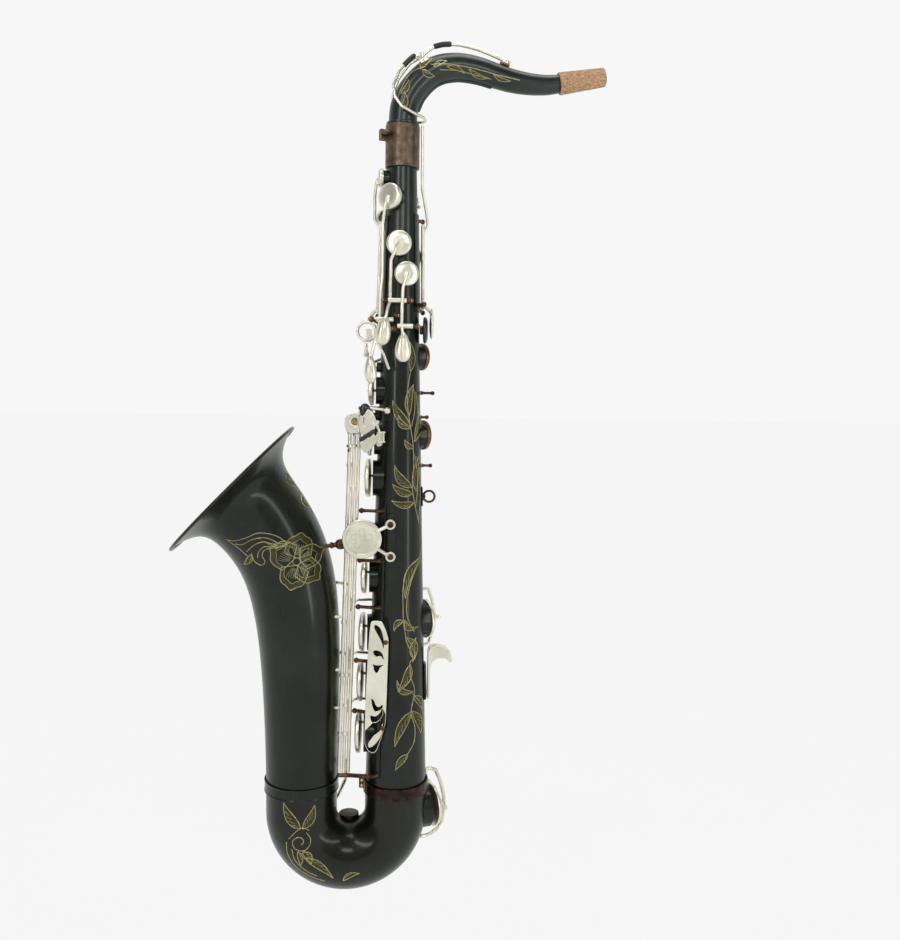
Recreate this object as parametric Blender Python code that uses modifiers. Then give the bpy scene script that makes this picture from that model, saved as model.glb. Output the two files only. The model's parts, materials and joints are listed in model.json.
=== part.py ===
"""Tenor saxophone, as an assembly of separate named pieces.

Every length in this file is in millimetres; the primitives near the top turn them into metres.
The frame's origin is the centre of the strap ring. +X points at the player, -X at the bell,
-Y at the side with the palm keys and +Z up, along the straight body tube.

Angles around the body tube start at the palm-key side (-Y): 90 is the player's side (+X),
-90 the bell's side (-X) and 180 the back (+Y).
"""

import math

import bmesh
import bpy
from mathutils import Matrix, Vector

MM = 0.001

# Body tube
STRAP_STANDOFF = 7.0
TUBE_TOP_Z = 302.0
TUBE_TOP_R = 13.2
TUBE_BOTTOM_Z = -277.0
TUBE_BOTTOM_R = 28.9
WALL = 1.0
TUBE_SIDES = 28
BOW_SIDES = 20
BELL_SIDES = 28
NECK_SIDES = 16
FIT = 0.3

# Bow and bell
BOW_SPAN = 88.9
BOW_CENTRE_Z = -300.2
BOW_BOTTOM_R = 31.9
BELL_BASE_R = 33.4
BELL_BASE_Z = -272.0
BELL_RIM_R = 77.6
BELL_RIM_Z = 6.8
BELL_LEAN = 64.0
BELL_TILT = 45.9
BELL_RISE = 187.8
BELL_THROAT = 84.9
BELL_SWELL = 13.3
FLARE_LENGTH = 7.3
RIM_BEAD_R = 1.5
RING_HEIGHT = 11.2
RING_WALL = 1.4

# Neck
RECEIVER_BOTTOM_Z = 299.0
RECEIVER_TOP_Z = 336.5
RECEIVER_WALL = 1.9
NECK_START_R = 12.9
NECK_END_R = 8.2
CORK_START_R = 9.9
CORK_END_R = 8.3
CORK_BORE_R = 6.6
NECK_STICKOUT = 0.6

# Tone holes and keys
CHIMNEY_RISE = 3.4
CUP_HEIGHT = 4.6
CUP_OVERHANG = 2.1
SLEEVE_R = 2.1
ROD_R = 1.7
ARM_R = 1.5
POST_R = 1.4
POST_BALL_R = 2.5
RIB_THICKNESS = 0.9
RIB_SPREAD = 5.0
STACK_ANGLE = -150.0
STACK_REACH = 8.8
STACK_OPEN = 5.0
PEARL_R = 6.6

# name: (angle around the body tube, height, bore radius)
HOLES = {
    "palm_f": (-36.0, 271.2, 9.4),
    "palm_eb": (-8.0, 229.6, 9.0),
    "palm_d": (12.0, 202.7, 8.6),
    "front_f": (-90.0, 290.0, 6.2),
    "high_fs": (-122.0, 254.0, 7.4),
    "side_e": (145.0, 222.0, 7.4),
    "side_c": (117.0, 130.0, 10.2),
    "side_bb": (115.0, 57.0, 11.6),
    "c_vent": (-90.0, 119.5, 3.6),
    "b": (-90.0, 98.0, 11.6),
    "bis": (-90.0, 76.0, 4.8),
    "a": (-90.0, 52.0, 12.2),
    "g": (-90.0, 17.0, 15.6),
    "g_sharp": (-90.0, -40.0, 13.6),
    "f_sharp": (-90.0, -76.0, 13.8),
    "f": (-90.0, -129.0, 16.0),
    "e": (-90.0, -176.0, 17.0),
    "d": (-90.0, -225.0, 18.0),
    "eb": (115.0, -119.0, 16.2),
}
OCTAVE_PIP = (140.0, 283.0, 2.4)

# Angles that the open keys rest at
LOW_C_OPEN = 6.0
LOW_BELL_OPEN = 5.0

# Tone holes of the bow and the bell: angles around the tube or along the bow, bores and places
LOW_C_ANGLE = 108.0
LOW_C_Z = -303.5
LOW_C_BORE = 18.5
LOW_CS_TURN = 134.6
LOW_CS_BORE = 17.5
BELL_HOLE_BORE = 19.5
LOW_B_SHARE = 0.24
LOW_BB_SHARE = 0.47

# Rods of the low keys, between the body and the bell
ROD_TOP_DX = -42.6
ROD_BOTTOM_DX = -51.5
ROD_TOP_Z = 80.0
ROD_BOTTOM_Z = -262.0
ROD_Y = -14.0
ROD_PITCH = 4.2
SHORT_ROD_TOP_Z = 64.0
ROD_POSTS = (-12.0, -58.0, -101.5, -152.0, -200.0)
BELL_POST_HEIGHTS = (-111.0, -161.0, -197.0)
TABLE_GAP = 3.6

# Other key lines and fittings
RECEIVER_SCREW_ANGLE = -78.0
RING_LUG_ANGLE = -100.0
PALM_REACH = 7.0
PLAYER_LINE_ANGLE = 174.0
PLAYER_LINE_REACH = 9.0
THUMB_REST_Z = 154.0
HOOK_Z = -176.0
GUARD_LIFT = 20.5

# Side keys: name: (tone hole, rod angle, touch height, sleeve top)
SIDE_REACH = 7.4
SIDE_SLEEVE_LOW = -78.0
SIDE_KEYS = {
    "side_bb_key": ("side_bb", 152.0, -63.0, 68.0),
    "side_c_key": ("side_c", 166.0, -34.0, 140.0),
    "side_e_key": ("side_e", 180.0, -5.0, 232.0),
    "high_fs_key": ("high_fs", 194.0, 24.0, 266.0),
}

# name: (tone hole, sleeve from, sleeve to, touch height, touch reach, arm height of the touch)
UPPER_STACK = {
    "c_vent_key": ("c_vent", 128.2, 143.2, None, None, None),
    "b_key": ("b", 85.2, 127.6, 135.0, 10.6, 112.0),
    "bis_key": ("bis", 69.2, 84.6, None, None, None),
    "a_key": ("a", 35.4, 62.8, None, None, None),
    "g_key": ("g", -1.0, 34.8, None, None, None),
}
LOWER_STACK = {
    "f_sharp_key": ("f_sharp", -100.4, -60.7, None, None, None),
    "f_key": ("f", -148.8, -101.0, -103.0, 16.2, -104.0),
    "e_key": ("e", -200.4, -155.2, -152.0, 16.2, -158.0),
    "d_key": ("d", -244.8, -201.0, -200.5, 16.2, -203.0),
}
UPPER_POSTS = (146.0, 66.0, -3.8)
LOWER_POSTS = (-19.6, -57.6, -152.0, -248.0)

SILVER = ("key_silver", (0.80, 0.79, 0.71), 1.0, 0.33)
BLACK = ("body_black", (0.030, 0.032, 0.029), 0.85, 0.38)
BRONZE = ("post_bronze", (0.17, 0.085, 0.045), 0.9, 0.42)
CORK = ("cork", (0.60, 0.36, 0.19), 0.0, 0.85)
DARK = ("thumb_black", (0.02, 0.018, 0.016), 0.0, 0.35)

HINGES = {}


def straight(low, high, share):
    """Value a share of the way from low to high."""
    return low + (high - low) * share


def tube_radius(z):
    """Outer radius of the conical body tube at height z."""
    return straight(TUBE_BOTTOM_R, TUBE_TOP_R, (z - TUBE_BOTTOM_Z) / (TUBE_TOP_Z - TUBE_BOTTOM_Z))


TUBE_X = -(tube_radius(0.0) + STRAP_STANDOFF)
BELL_X = TUBE_X - BOW_SPAN


def around(angle):
    """Unit vector away from the body tube's axis."""
    turn = math.radians(angle)
    return Vector((math.sin(turn), -math.cos(turn), 0.0))


def on_tube(angle, z, reach=0.0):
    """Point at a distance outside the body tube's skin."""
    return Vector((TUBE_X, 0.0, z)) + around(angle) * (tube_radius(z) + reach)


def beside(dx, y, z):
    """Point given by its distance along X from the body tube's axis."""
    return Vector((TUBE_X + dx, y, z))


def front(dx, z, reach):
    """Point on the palm-key side, a distance outside the tube's widest line."""
    return Vector((TUBE_X + dx, -tube_radius(z) - reach, z))


def smooth(points, steps=4):
    """Catmull-Rom curve through the given points."""
    ends = [points[0] * 2 - points[1]] + list(points) + [points[-1] * 2 - points[-2]]
    path = []
    for i in range(1, len(ends) - 2):
        a, b, c, d = ends[i - 1:i + 3]
        for k in range(steps):
            t = k / steps
            bend = (a * 2 - b * 5 + c * 4 - d) * t * t + (b * 3 - a - c * 3 + d) * t ** 3
            path.append((b * 2 + (c - a) * t + bend) / 2)
    return path + [points[-1]]


# Primitives: each returns a loose piece, which assemble() turns into a named part

def clear_scene():
    for old in list(bpy.data.objects):
        bpy.data.objects.remove(old, do_unlink=True)


def collection(name):
    """Collection with this name under the scene's own."""
    group = bpy.data.collections.new(name)
    bpy.context.scene.collection.children.link(group)
    return group


clear_scene()
PARTS = collection("saxophone")
CUTTERS = collection("cutters")


def material(spec):
    """Principled material of the given name, colour, metallic value and roughness."""
    name, colour, metallic, roughness = spec
    found = bpy.data.materials.get(name)
    if found:
        return found
    made = bpy.data.materials.new(name)
    made.use_nodes = True
    shader = made.node_tree.nodes["Principled BSDF"]
    shader.inputs["Base Color"].default_value = (*colour, 1.0)
    shader.inputs["Metallic"].default_value = metallic
    shader.inputs["Roughness"].default_value = roughness
    return made


def loose(mesh, placed=None):
    """Hidden piece that holds a mesh."""
    piece = bpy.data.objects.new("piece", mesh)
    CUTTERS.objects.link(piece)
    piece.hide_render = True
    piece.display_type = "WIRE"
    if placed:
        piece.matrix_world = placed
    return piece


def facing(origin, direction):
    """Matrix that puts local Z along a direction, at an origin in millimetres."""
    turn = Vector(direction).to_track_quat("Z", "Y").to_matrix().to_4x4()
    return Matrix.Translation(Vector(origin) * MM) @ turn


def from_bmesh(bm, placed=None):
    mesh = bpy.data.meshes.new("piece")
    bm.to_mesh(mesh)
    bm.free()
    return loose(mesh, placed)


def cylinder(start, end, radius, sides=8, end_radius=None):
    """Cylinder or cone between two points."""
    bm = bmesh.new()
    top = radius if end_radius is None else end_radius
    run = Vector(end) - Vector(start)
    bmesh.ops.create_cone(
        bm, cap_ends=True, segments=sides, radius1=radius * MM, radius2=top * MM, depth=run.length * MM
    )
    return from_bmesh(bm, facing((Vector(start) + Vector(end)) / 2, run))


def ball(centre, radius, sides=6, rings=4, stretch=(1.0, 1.0, 1.0), pointing=(0.0, 0.0, 1.0)):
    """Sphere, or an ellipsoid when stretched along its own axes."""
    bm = bmesh.new()
    bmesh.ops.create_uvsphere(bm, u_segments=sides, v_segments=rings, radius=radius * MM)
    bmesh.ops.scale(bm, vec=stretch, verts=bm.verts)
    return from_bmesh(bm, facing(centre, pointing))


def block(centre, size, placed=None):
    """Box; placed turns it about its own centre."""
    bm = bmesh.new()
    bmesh.ops.create_cube(bm, size=1.0)
    bmesh.ops.scale(bm, vec=Vector(size) * MM, verts=bm.verts)
    turn = placed or Matrix.Identity(4)
    return from_bmesh(bm, Matrix.Translation(Vector(centre) * MM) @ turn)


def hoop(centre, axis, ring_radius, bar_radius, turns=16, sides=6):
    """Ring of round bar."""
    spline_points = []
    for i in range(turns):
        a = 2 * math.pi * i / turns
        spline_points.append(Vector((math.cos(a), math.sin(a), 0.0)) * ring_radius)
    curve = poly_curve(spline_points, [bar_radius] * turns, sides, closed=True)
    return curve_to_mesh(curve, facing(centre, axis))


def poly_curve(points, radii, sides, closed=False, caps=True):
    """Curve object through points, as thick as the radii say."""
    data = bpy.data.curves.new("curve", "CURVE")
    data.dimensions = "3D"
    data.bevel_depth = MM
    data.bevel_resolution = sides // 2 - 2
    data.use_fill_caps = caps and not closed
    spline = data.splines.new("POLY")
    spline.points.add(len(points) - 1)
    for slot, point, radius in zip(spline.points, points, radii):
        slot.co = (*(Vector(point) * MM), 1.0)
        slot.radius = radius
    spline.use_cyclic_u = closed
    drawn = bpy.data.objects.new("curve", data)
    CUTTERS.objects.link(drawn)
    return drawn


def curve_to_mesh(drawn, placed=None):
    """Loose piece with the curve's mesh, its caps welded on."""
    depsgraph = bpy.context.evaluated_depsgraph_get()
    mesh = bpy.data.meshes.new_from_object(drawn.evaluated_get(depsgraph))
    bm = bmesh.new()
    bm.from_mesh(mesh)
    bmesh.ops.remove_doubles(bm, verts=bm.verts, dist=0.00001)
    bmesh.ops.recalc_face_normals(bm, faces=bm.faces)
    bm.to_mesh(mesh)
    bm.free()
    mesh.materials.clear()
    bpy.data.objects.remove(drawn, do_unlink=True)
    return loose(mesh, placed)


def rod(points, radius, sides=6, closed=False):
    """Round bar along straight stretches between points."""
    return curve_to_mesh(poly_curve(points, [radius] * len(points), sides, closed))


def bent(points, radius, sides=6, steps=2, end_radius=None):
    """Round bar bent smoothly through points, tapering if its end radius is given."""
    path = smooth([Vector(p) for p in points], steps)
    last = radius if end_radius is None else end_radius
    radii = [straight(radius, last, i / (len(path) - 1)) for i in range(len(path))]
    return curve_to_mesh(poly_curve(path, radii, sides))


def sheet_cut(outline, thickness, placed, holes=()):
    """Flat plate of an outline in its local XY plane, with holes of their own outlines."""
    data = bpy.data.curves.new("outline", "CURVE")
    data.dimensions = "2D"
    data.fill_mode = "BOTH"
    data.extrude = thickness / 2 * MM
    for loop in (outline, *holes):
        spline = data.splines.new("POLY")
        spline.points.add(len(loop) - 1)
        for slot, point in zip(spline.points, loop):
            slot.co = (point[0] * MM, point[1] * MM, 0.0, 1.0)
        spline.use_cyclic_u = True
    drawn = bpy.data.objects.new("outline", data)
    CUTTERS.objects.link(drawn)
    return curve_to_mesh(drawn, placed)


def side_plane(y):
    """Matrix of a plate that faces the palm-key side: its local X and Y are world X and Z."""
    return Matrix.Translation((0.0, y * MM, 0.0)) @ Matrix.Rotation(math.pi / 2, 4, "X")


def turned(profile, origin, direction, sides=16):
    """Solid of revolution from (radius, height) points that run top to bottom."""
    mesh = bpy.data.meshes.new("profile")
    verts = [(radius * MM, 0.0, height * MM) for radius, height in profile]
    mesh.from_pydata(verts, [(i, i + 1) for i in range(len(verts) - 1)], [])
    piece = loose(mesh, facing(origin, direction))
    screw = piece.modifiers.new("turn", "SCREW")
    screw.steps = sides
    screw.render_steps = sides
    screw.use_merge_vertices = True
    screw.merge_threshold = 0.00001
    return piece


def saddle(angle, spread, low, high, lift=FIT, thickness=RIB_THICKNESS, cells=3, rows=1, twist=0.0):
    """Curved plate that hugs the body tube; a twist of so many degrees per height makes it a strip that winds."""
    bm = bmesh.new()
    bmesh.ops.create_grid(bm, x_segments=cells, y_segments=rows, size=0.5)
    for vert in bm.verts:
        height = straight(low, high, vert.co.y + 0.5)
        turn = angle + vert.co.x * spread + (height - (low + high) / 2) * twist
        spot = on_tube(turn, height, lift)
        vert.co = spot * MM
    for face in bm.faces:
        face.normal_update()
        if face.normal.dot(around(angle)) < 0:
            face.normal_flip()
    piece = from_bmesh(bm)
    solid = piece.modifiers.new("thickness", "SOLIDIFY")
    solid.thickness = thickness * MM
    solid.offset = 1.0
    return piece


def boolean(target, cutter, operation):
    """Exact Boolean of one object with another."""
    step = target.modifiers.new(operation.lower(), "BOOLEAN")
    step.operation = operation
    step.solver = "EXACT"
    step.use_self = operation == "UNION"
    step.object = cutter
    return step


def assemble(name, pieces, spec, cuts=(), hinge=None, rest=0.0):
    """Named part: the first piece, united with the others and cut. A hinge is (point, axis)."""
    part = pieces[0]
    part.name = name
    CUTTERS.objects.unlink(part)
    PARTS.objects.link(part)
    part.hide_render = False
    part.display_type = "TEXTURED"
    for other in pieces[1:]:
        boolean(part, other, "UNION")
    for cutter in cuts:
        boolean(part, cutter, "DIFFERENCE")
    part.data.materials.clear()
    part.data.materials.append(material(spec))
    if hinge:
        put_on_hinge(name, [*pieces, *cuts], hinge, rest)
    return part


def put_on_hinge(name, pieces, hinge, rest):
    """Parents the pieces to an empty on the joint's axis, turned to the rest angle."""
    point, axis = hinge
    pivot = bpy.data.objects.new(name + "_pivot", None)
    PARTS.objects.link(pivot)
    place = Matrix.Translation(point * MM)
    pivot.matrix_world = place
    for piece in pieces:
        held = piece.matrix_world.copy()
        piece.parent = pivot
        piece.matrix_parent_inverse = place.inverted()
        piece.matrix_basis = held
    pivot.matrix_world = place @ Matrix.Rotation(math.radians(rest), 4, axis)
    HINGES[name] = (point.copy(), axis.normalized())


# Tubes

def bell_path(shares):
    """Points of the bell's centreline: a cubic from the base to the middle of the rim."""
    tilt = math.radians(BELL_TILT)
    out = Vector((-math.sin(tilt), 0.0, math.cos(tilt)))
    base = Vector((BELL_X, 0.0, BELL_BASE_Z))
    rim = Vector((BELL_X - BELL_LEAN, 0.0, BELL_RIM_Z))
    lift = base + Vector((0.0, 0.0, BELL_RISE))
    lean = rim - out * BELL_THROAT
    points = []
    for t in shares:
        s = 1 - t
        points.append(base * s ** 3 + lift * 3 * s * s * t + lean * 3 * s * t * t + rim * t ** 3)
    return points


def bell_radii(points):
    """Outer radius at each point, from its distance to the rim along the centreline."""
    left = [0.0]
    for near, far in zip(reversed(points[1:]), reversed(points[:-1])):
        left.insert(0, left[0] + (near - far).length)
    swell_at_rim = BELL_BASE_R + BELL_SWELL
    radii = []
    for distance in left:
        grown = BELL_BASE_R + BELL_SWELL * (1 - distance / left[0]) ** 1.5
        radii.append(grown + (BELL_RIM_R - swell_at_rim) * math.exp(-distance / FLARE_LENGTH))
    return radii


def bow_path(steps=10):
    """Points of the bow's U, from the body tube's end to the bell's base."""
    radius = BOW_SPAN / 2
    middle = (TUBE_X + BELL_X) / 2
    points = [Vector((TUBE_X, 0.0, TUBE_BOTTOM_Z - FIT))]
    for i in range(steps + 1):
        turn = math.pi * i / steps
        points.append(
            Vector((middle + radius * math.cos(turn), 0.0, BOW_CENTRE_Z - radius * math.sin(turn)))
        )
    points.append(Vector((BELL_X, 0.0, BELL_BASE_Z - FIT)))
    return points


def bow_radii(points):
    """Outer radius along the bow: it widens steadily to the bell."""
    half = (len(points) - 1) / 2
    radii = []
    for i in range(len(points)):
        if i <= half:
            radii.append(straight(TUBE_BOTTOM_R, BOW_BOTTOM_R, i / half))
        else:
            radii.append(straight(BOW_BOTTOM_R, BELL_BASE_R, i / half - 1))
    return radii


def extended(points, reach):
    """The same points with both ends drawn out."""
    first = points[0] + (points[0] - points[1]).normalized() * reach
    last = points[-1] + (points[-1] - points[-2]).normalized() * reach
    return [first, *points[1:-1], last]


def chimney(root, direction, bore, reach, sides=12):
    """Solid tone-hole chimney and the cutter of its bore."""
    top = root + direction * reach
    solid = cylinder(root, top, bore + WALL, sides)
    cutter = cylinder(root, top + direction * 2, bore, sides)
    return solid, cutter


def hole_seat(name):
    """Axis point, direction and chimney-top distance of a tone hole on the body tube."""
    angle, z, _ = HOLES[name]
    return Vector((TUBE_X, 0.0, z)), around(angle), tube_radius(z) + CHIMNEY_RISE


def body_tube():
    """Conical body tube with its drawn tone holes."""
    top = Vector((TUBE_X, 0.0, TUBE_TOP_Z))
    bottom = Vector((TUBE_X, 0.0, TUBE_BOTTOM_Z))
    skin = cylinder(bottom, top, TUBE_BOTTOM_R, TUBE_SIDES, TUBE_TOP_R)
    solids = []
    bores = []
    for name, (_, _, bore) in HOLES.items():
        root, direction, reach = hole_seat(name)
        solid, cutter = chimney(root, direction, bore, reach, 12 if bore > 6 else 8)
        solids.append(solid)
        bores.append(cutter)
    angle, z, bore = OCTAVE_PIP
    pip, pip_bore = chimney(Vector((TUBE_X, 0.0, z)), around(angle), bore - WALL, tube_radius(z) + 3, 8)
    over = 5.0
    slope = (TUBE_BOTTOM_R - TUBE_TOP_R) / (TUBE_TOP_Z - TUBE_BOTTOM_Z) * over
    bore_cone = cylinder(
        bottom - Vector((0, 0, over)), top + Vector((0, 0, over)),
        TUBE_BOTTOM_R - WALL + slope, TUBE_SIDES, TUBE_TOP_R - WALL - slope
    )
    assemble("body_tube", [skin, *solids, pip], BLACK, cuts=[bore_cone, *bores, pip_bore])


def bottom_bow():
    """U-shaped bow with the tone holes of low C and low C sharp."""
    points = bow_path()
    radii = bow_radii(points)
    skin = curve_to_mesh(poly_curve(points, radii, BOW_SIDES))
    inner = curve_to_mesh(poly_curve(extended(points, 4), [r - WALL for r in radii], BOW_SIDES))
    solids = []
    bores = []
    for root, direction, bore, reach in (low_c_seat(), low_cs_seat()):
        solid, cutter = chimney(root, direction, bore, reach)
        solids.append(solid)
        bores.append(cutter)
    boss_at = Vector(((TUBE_X + BELL_X) / 2, 9.0, BOW_CENTRE_Z - BOW_SPAN / 2 + BOW_BOTTOM_R))
    boss = cylinder(boss_at - Vector((0, 0, 9.2)), boss_at + Vector((0, 0, 4.2)), 9.6, 14)
    assemble("bottom_bow", [skin, *solids, boss], BLACK, cuts=[inner, *bores])


def low_c_seat():
    """Axis point, direction, bore and chimney-top distance of low C, on the player's side."""
    return Vector((TUBE_X, 0, LOW_C_Z)), around(LOW_C_ANGLE), LOW_C_BORE, TUBE_BOTTOM_R + CHIMNEY_RISE


def low_cs_seat():
    """The same of low C sharp, on the back of the bow under the bell."""
    turn = math.radians(LOW_CS_TURN)
    reach = BOW_SPAN / 2
    root = Vector(((TUBE_X + BELL_X) / 2 + reach * math.cos(turn), 0,
                   BOW_CENTRE_Z - reach * math.sin(turn)))
    share = LOW_CS_TURN / 90 - 1
    return root, Vector((0, 1, 0)), LOW_CS_BORE, straight(BOW_BOTTOM_R, BELL_BASE_R, share) + CHIMNEY_RISE


def bell_seat(share):
    """Axis point, direction, bore and chimney-top distance of a tone hole on the bell's back."""
    points = bell_path([share + i * (1 - share) / 40 for i in range(41)])
    whole = sum((b - a).length for a, b in zip(points, points[1:]))
    full = bell_path([i / 60 for i in range(61)])
    length = sum((b - a).length for a, b in zip(full, full[1:]))
    radius = BELL_BASE_R + BELL_SWELL * (1 - whole / length) ** 1.5
    return points[0], Vector((0, 1, 0)), BELL_HOLE_BORE, radius + CHIMNEY_RISE


def bell_shell():
    """Flared bell with its rolled rim, the tone holes of low B and B flat and three rod posts."""
    shares = [0, 0.16, 0.32, 0.48, 0.62, 0.75, 0.85, 0.91, 0.95, 0.975, 0.99, 1]
    points = bell_path(shares)
    radii = bell_radii(points)
    shell = curve_to_mesh(poly_curve(points, radii, BELL_SIDES, caps=False))
    solid = shell.modifiers.new("wall", "SOLIDIFY")
    solid.thickness = WALL * MM
    solid.offset = -1.0
    solid.use_even_offset = True
    tilt = math.radians(BELL_TILT)
    out = Vector((-math.sin(tilt), 0, math.cos(tilt)))
    bead = hoop(points[-1] - out * 0.6, out, BELL_RIM_R, RIM_BEAD_R, turns=BELL_SIDES)
    chimneys = []
    bores = []
    for share in (LOW_B_SHARE, LOW_BB_SHARE):
        raised, cutter = chimney(*reordered(bell_seat(share)))
        chimneys.append(raised)
        bores.append(cutter)
    straight_part = bell_path([0.08 + 0.7 * i / 8 for i in range(9)])
    inner_radii = [r - WALL for r in bell_radii(bell_path([0.08 + 0.7 * i / 8 for i in range(9)] + [1]))]
    plug = curve_to_mesh(poly_curve(straight_part, inner_radii[:-1], BELL_SIDES))
    posts = [rod_post(z) for z in BELL_POST_HEIGHTS]
    assemble("bell", [shell, bead, *chimneys, *posts], BLACK, cuts=[plug, *bores])


def reordered(seat):
    """A seat's values in chimney()'s order, with the root inside the wall."""
    root, direction, bore, reach = seat
    return root + direction * 10, direction, bore, reach - 10


# Rods of the low keys, which run between the body and the bell

def low_rod(number):
    """Axis of a low key's rod: the three lie side by side."""
    dx = ROD_PITCH * (number - 0.5)
    top = beside(ROD_TOP_DX + dx, ROD_Y, ROD_TOP_Z)
    bottom = beside(ROD_BOTTOM_DX + dx, ROD_Y, ROD_BOTTOM_Z)
    return bottom, top


def along(line, z):
    """Point of a line at a height."""
    low, high = line
    return straight(low, high, (z - low.z) / (high.z - low.z))


def rod_post(z):
    """Post from the bell's skin that ends just short of the nearest rod."""
    tip = along(low_rod(0), z) - Vector((ROD_R + FIT + POST_R, 0, 0))
    share = (z - BELL_BASE_Z) / BELL_RISE * 0.42
    root = bell_path([share])[0] + Vector((BELL_BASE_R - 3.0, 0, 0))
    root.y = tip.y
    root.z = z
    return rod([root, tip], POST_R)


def fixed_rings():
    """Clamp ring of the body-to-bow joint, and the band of the bow-to-bell joint."""
    top = TUBE_BOTTOM_Z + RING_HEIGHT * 0.57
    bottom = top - RING_HEIGHT
    inner = TUBE_BOTTOM_R + FIT + 0.25
    axis = Vector((TUBE_X, 0, 0))
    band = cylinder(axis + Vector((0, 0, bottom)), axis + Vector((0, 0, top)), inner + RING_WALL, 36)
    out = around(RING_LUG_ANGLE)
    lug = block(axis + out * (inner + 2.6) + Vector((0, 0, (top + bottom) / 2)),
                (5.2, 8.5, RING_HEIGHT - 1),
                Matrix.Rotation(math.radians(RING_LUG_ANGLE - 90), 4, "Z"))
    hole = cylinder(axis + Vector((0, 0, bottom - 1)), axis + Vector((0, 0, top + 1)), inner, 36)
    assemble("body_bow_ring", [band, lug], BRONZE, cuts=[hole])
    bell_top = BELL_BASE_Z + RING_HEIGHT * 0.4
    bell_bottom = bell_top - RING_HEIGHT
    bell_axis = Vector((BELL_X, 0, 0))
    wide = BELL_BASE_R + FIT + 0.35
    ring = cylinder(bell_axis + Vector((0, 0, bell_bottom)), bell_axis + Vector((0, 0, bell_top)),
                    wide + 0.9, 36)
    bore = cylinder(bell_axis + Vector((0, 0, bell_bottom - 1)), bell_axis + Vector((0, 0, bell_top + 1)),
                    wide, 36)
    assemble("bow_bell_ring", [ring], BLACK, cuts=[bore])


# Neck

def neck_path():
    """Centreline of the neck, from inside the receiver to the end of the cork."""
    bends = [
        (0.0, -29.0), (0.0, -10.0), (0.0, 2.0), (1.6, 18.0), (8.2, 32.0), (20.0, 45.0), (32.5, 51.8),
        (45.4, 54.3), (56.0, 54.2), (68.8, 52.2), (82.1, 48.6), (97.8, 44.6), (113.4, 42.4), (129.1, 42.0),
        (141.0, 43.4), (162.2, 47.3), (184.1, 51.3),
    ]
    return [Vector((TUBE_X + dx, 0, RECEIVER_TOP_Z + dz)) for dx, dz in bends]


def neck_radii(points):
    """Outer radius along the neck; under the cork it drops to the cork's bore."""
    cork_start = len(points) - 3
    run = 0.0
    runs = [0.0]
    for a, b in zip(points, points[1:]):
        run += (b - a).length
        runs.append(run)
    straight_end = runs[2]
    length = runs[cork_start] - straight_end
    radii = []
    for i, distance in enumerate(runs):
        share = max(0.0, distance - straight_end) / length
        radii.append(NECK_START_R - (NECK_START_R - NECK_END_R) * share ** 2)
        if i > cork_start:
            radii[-1] = CORK_BORE_R
    return radii


def neck():
    """Neck tube, its cork, brace and octave pip; all of it swivels in the receiver."""
    points = neck_path()
    radii = neck_radii(points)
    cork_from = points[-3]
    cork_to = points[-1]
    out = (cork_to - points[-2]).normalized()
    hinge = (Vector((TUBE_X, 0, RECEIVER_TOP_Z)), Vector((0, 0, 1)))
    body_points = [*points[:-2], cork_from + out * 1.0, cork_to + out * NECK_STICKOUT]
    body_radii = [*radii[:-2], CORK_BORE_R, CORK_BORE_R]
    skin = curve_to_mesh(poly_curve(body_points, body_radii, NECK_SIDES))
    bore = curve_to_mesh(poly_curve(extended(body_points, 3), [r - WALL for r in body_radii], NECK_SIDES))
    assemble("neck_tube", [skin, neck_brace(points, radii)], BLACK, cuts=[bore], hinge=hinge)
    start = cork_from + out * (1.0 + FIT)
    cork = cylinder(start, cork_to, CORK_START_R, NECK_SIDES, CORK_END_R)
    cork_bore = cylinder(start - out, cork_to + out, CORK_BORE_R + FIT, NECK_SIDES)
    assemble("neck_cork", [cork], CORK, cuts=[cork_bore], hinge=hinge)
    neck_collar(hinge)


def neck_brace(points, radii):
    """Stiffening bar soldered along the inside of the neck's bend."""
    under = []
    for i in range(3, 11):
        tangent = (points[i + 1] - points[i - 1]).normalized()
        inward = Vector((tangent.z, 0, -tangent.x))
        under.append(points[i] + inward * (radii[i] + 0.3))
    return bent(under, 1.3, 6, 2)


def neck_collar(hinge):
    """Ring around the neck where it meets the receiver."""
    low = RECEIVER_TOP_Z + FIT
    axis = Vector((TUBE_X, 0, 0))
    ring = cylinder(axis + Vector((0, 0, low)), axis + Vector((0, 0, low + 2.6)), NECK_START_R + 1.9, 28)
    bore = cylinder(axis + Vector((0, 0, low - 1)), axis + Vector((0, 0, low + 4)), NECK_START_R + FIT, 28)
    assemble("neck_collar", [ring], BLACK, cuts=[bore], hinge=hinge)


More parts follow.
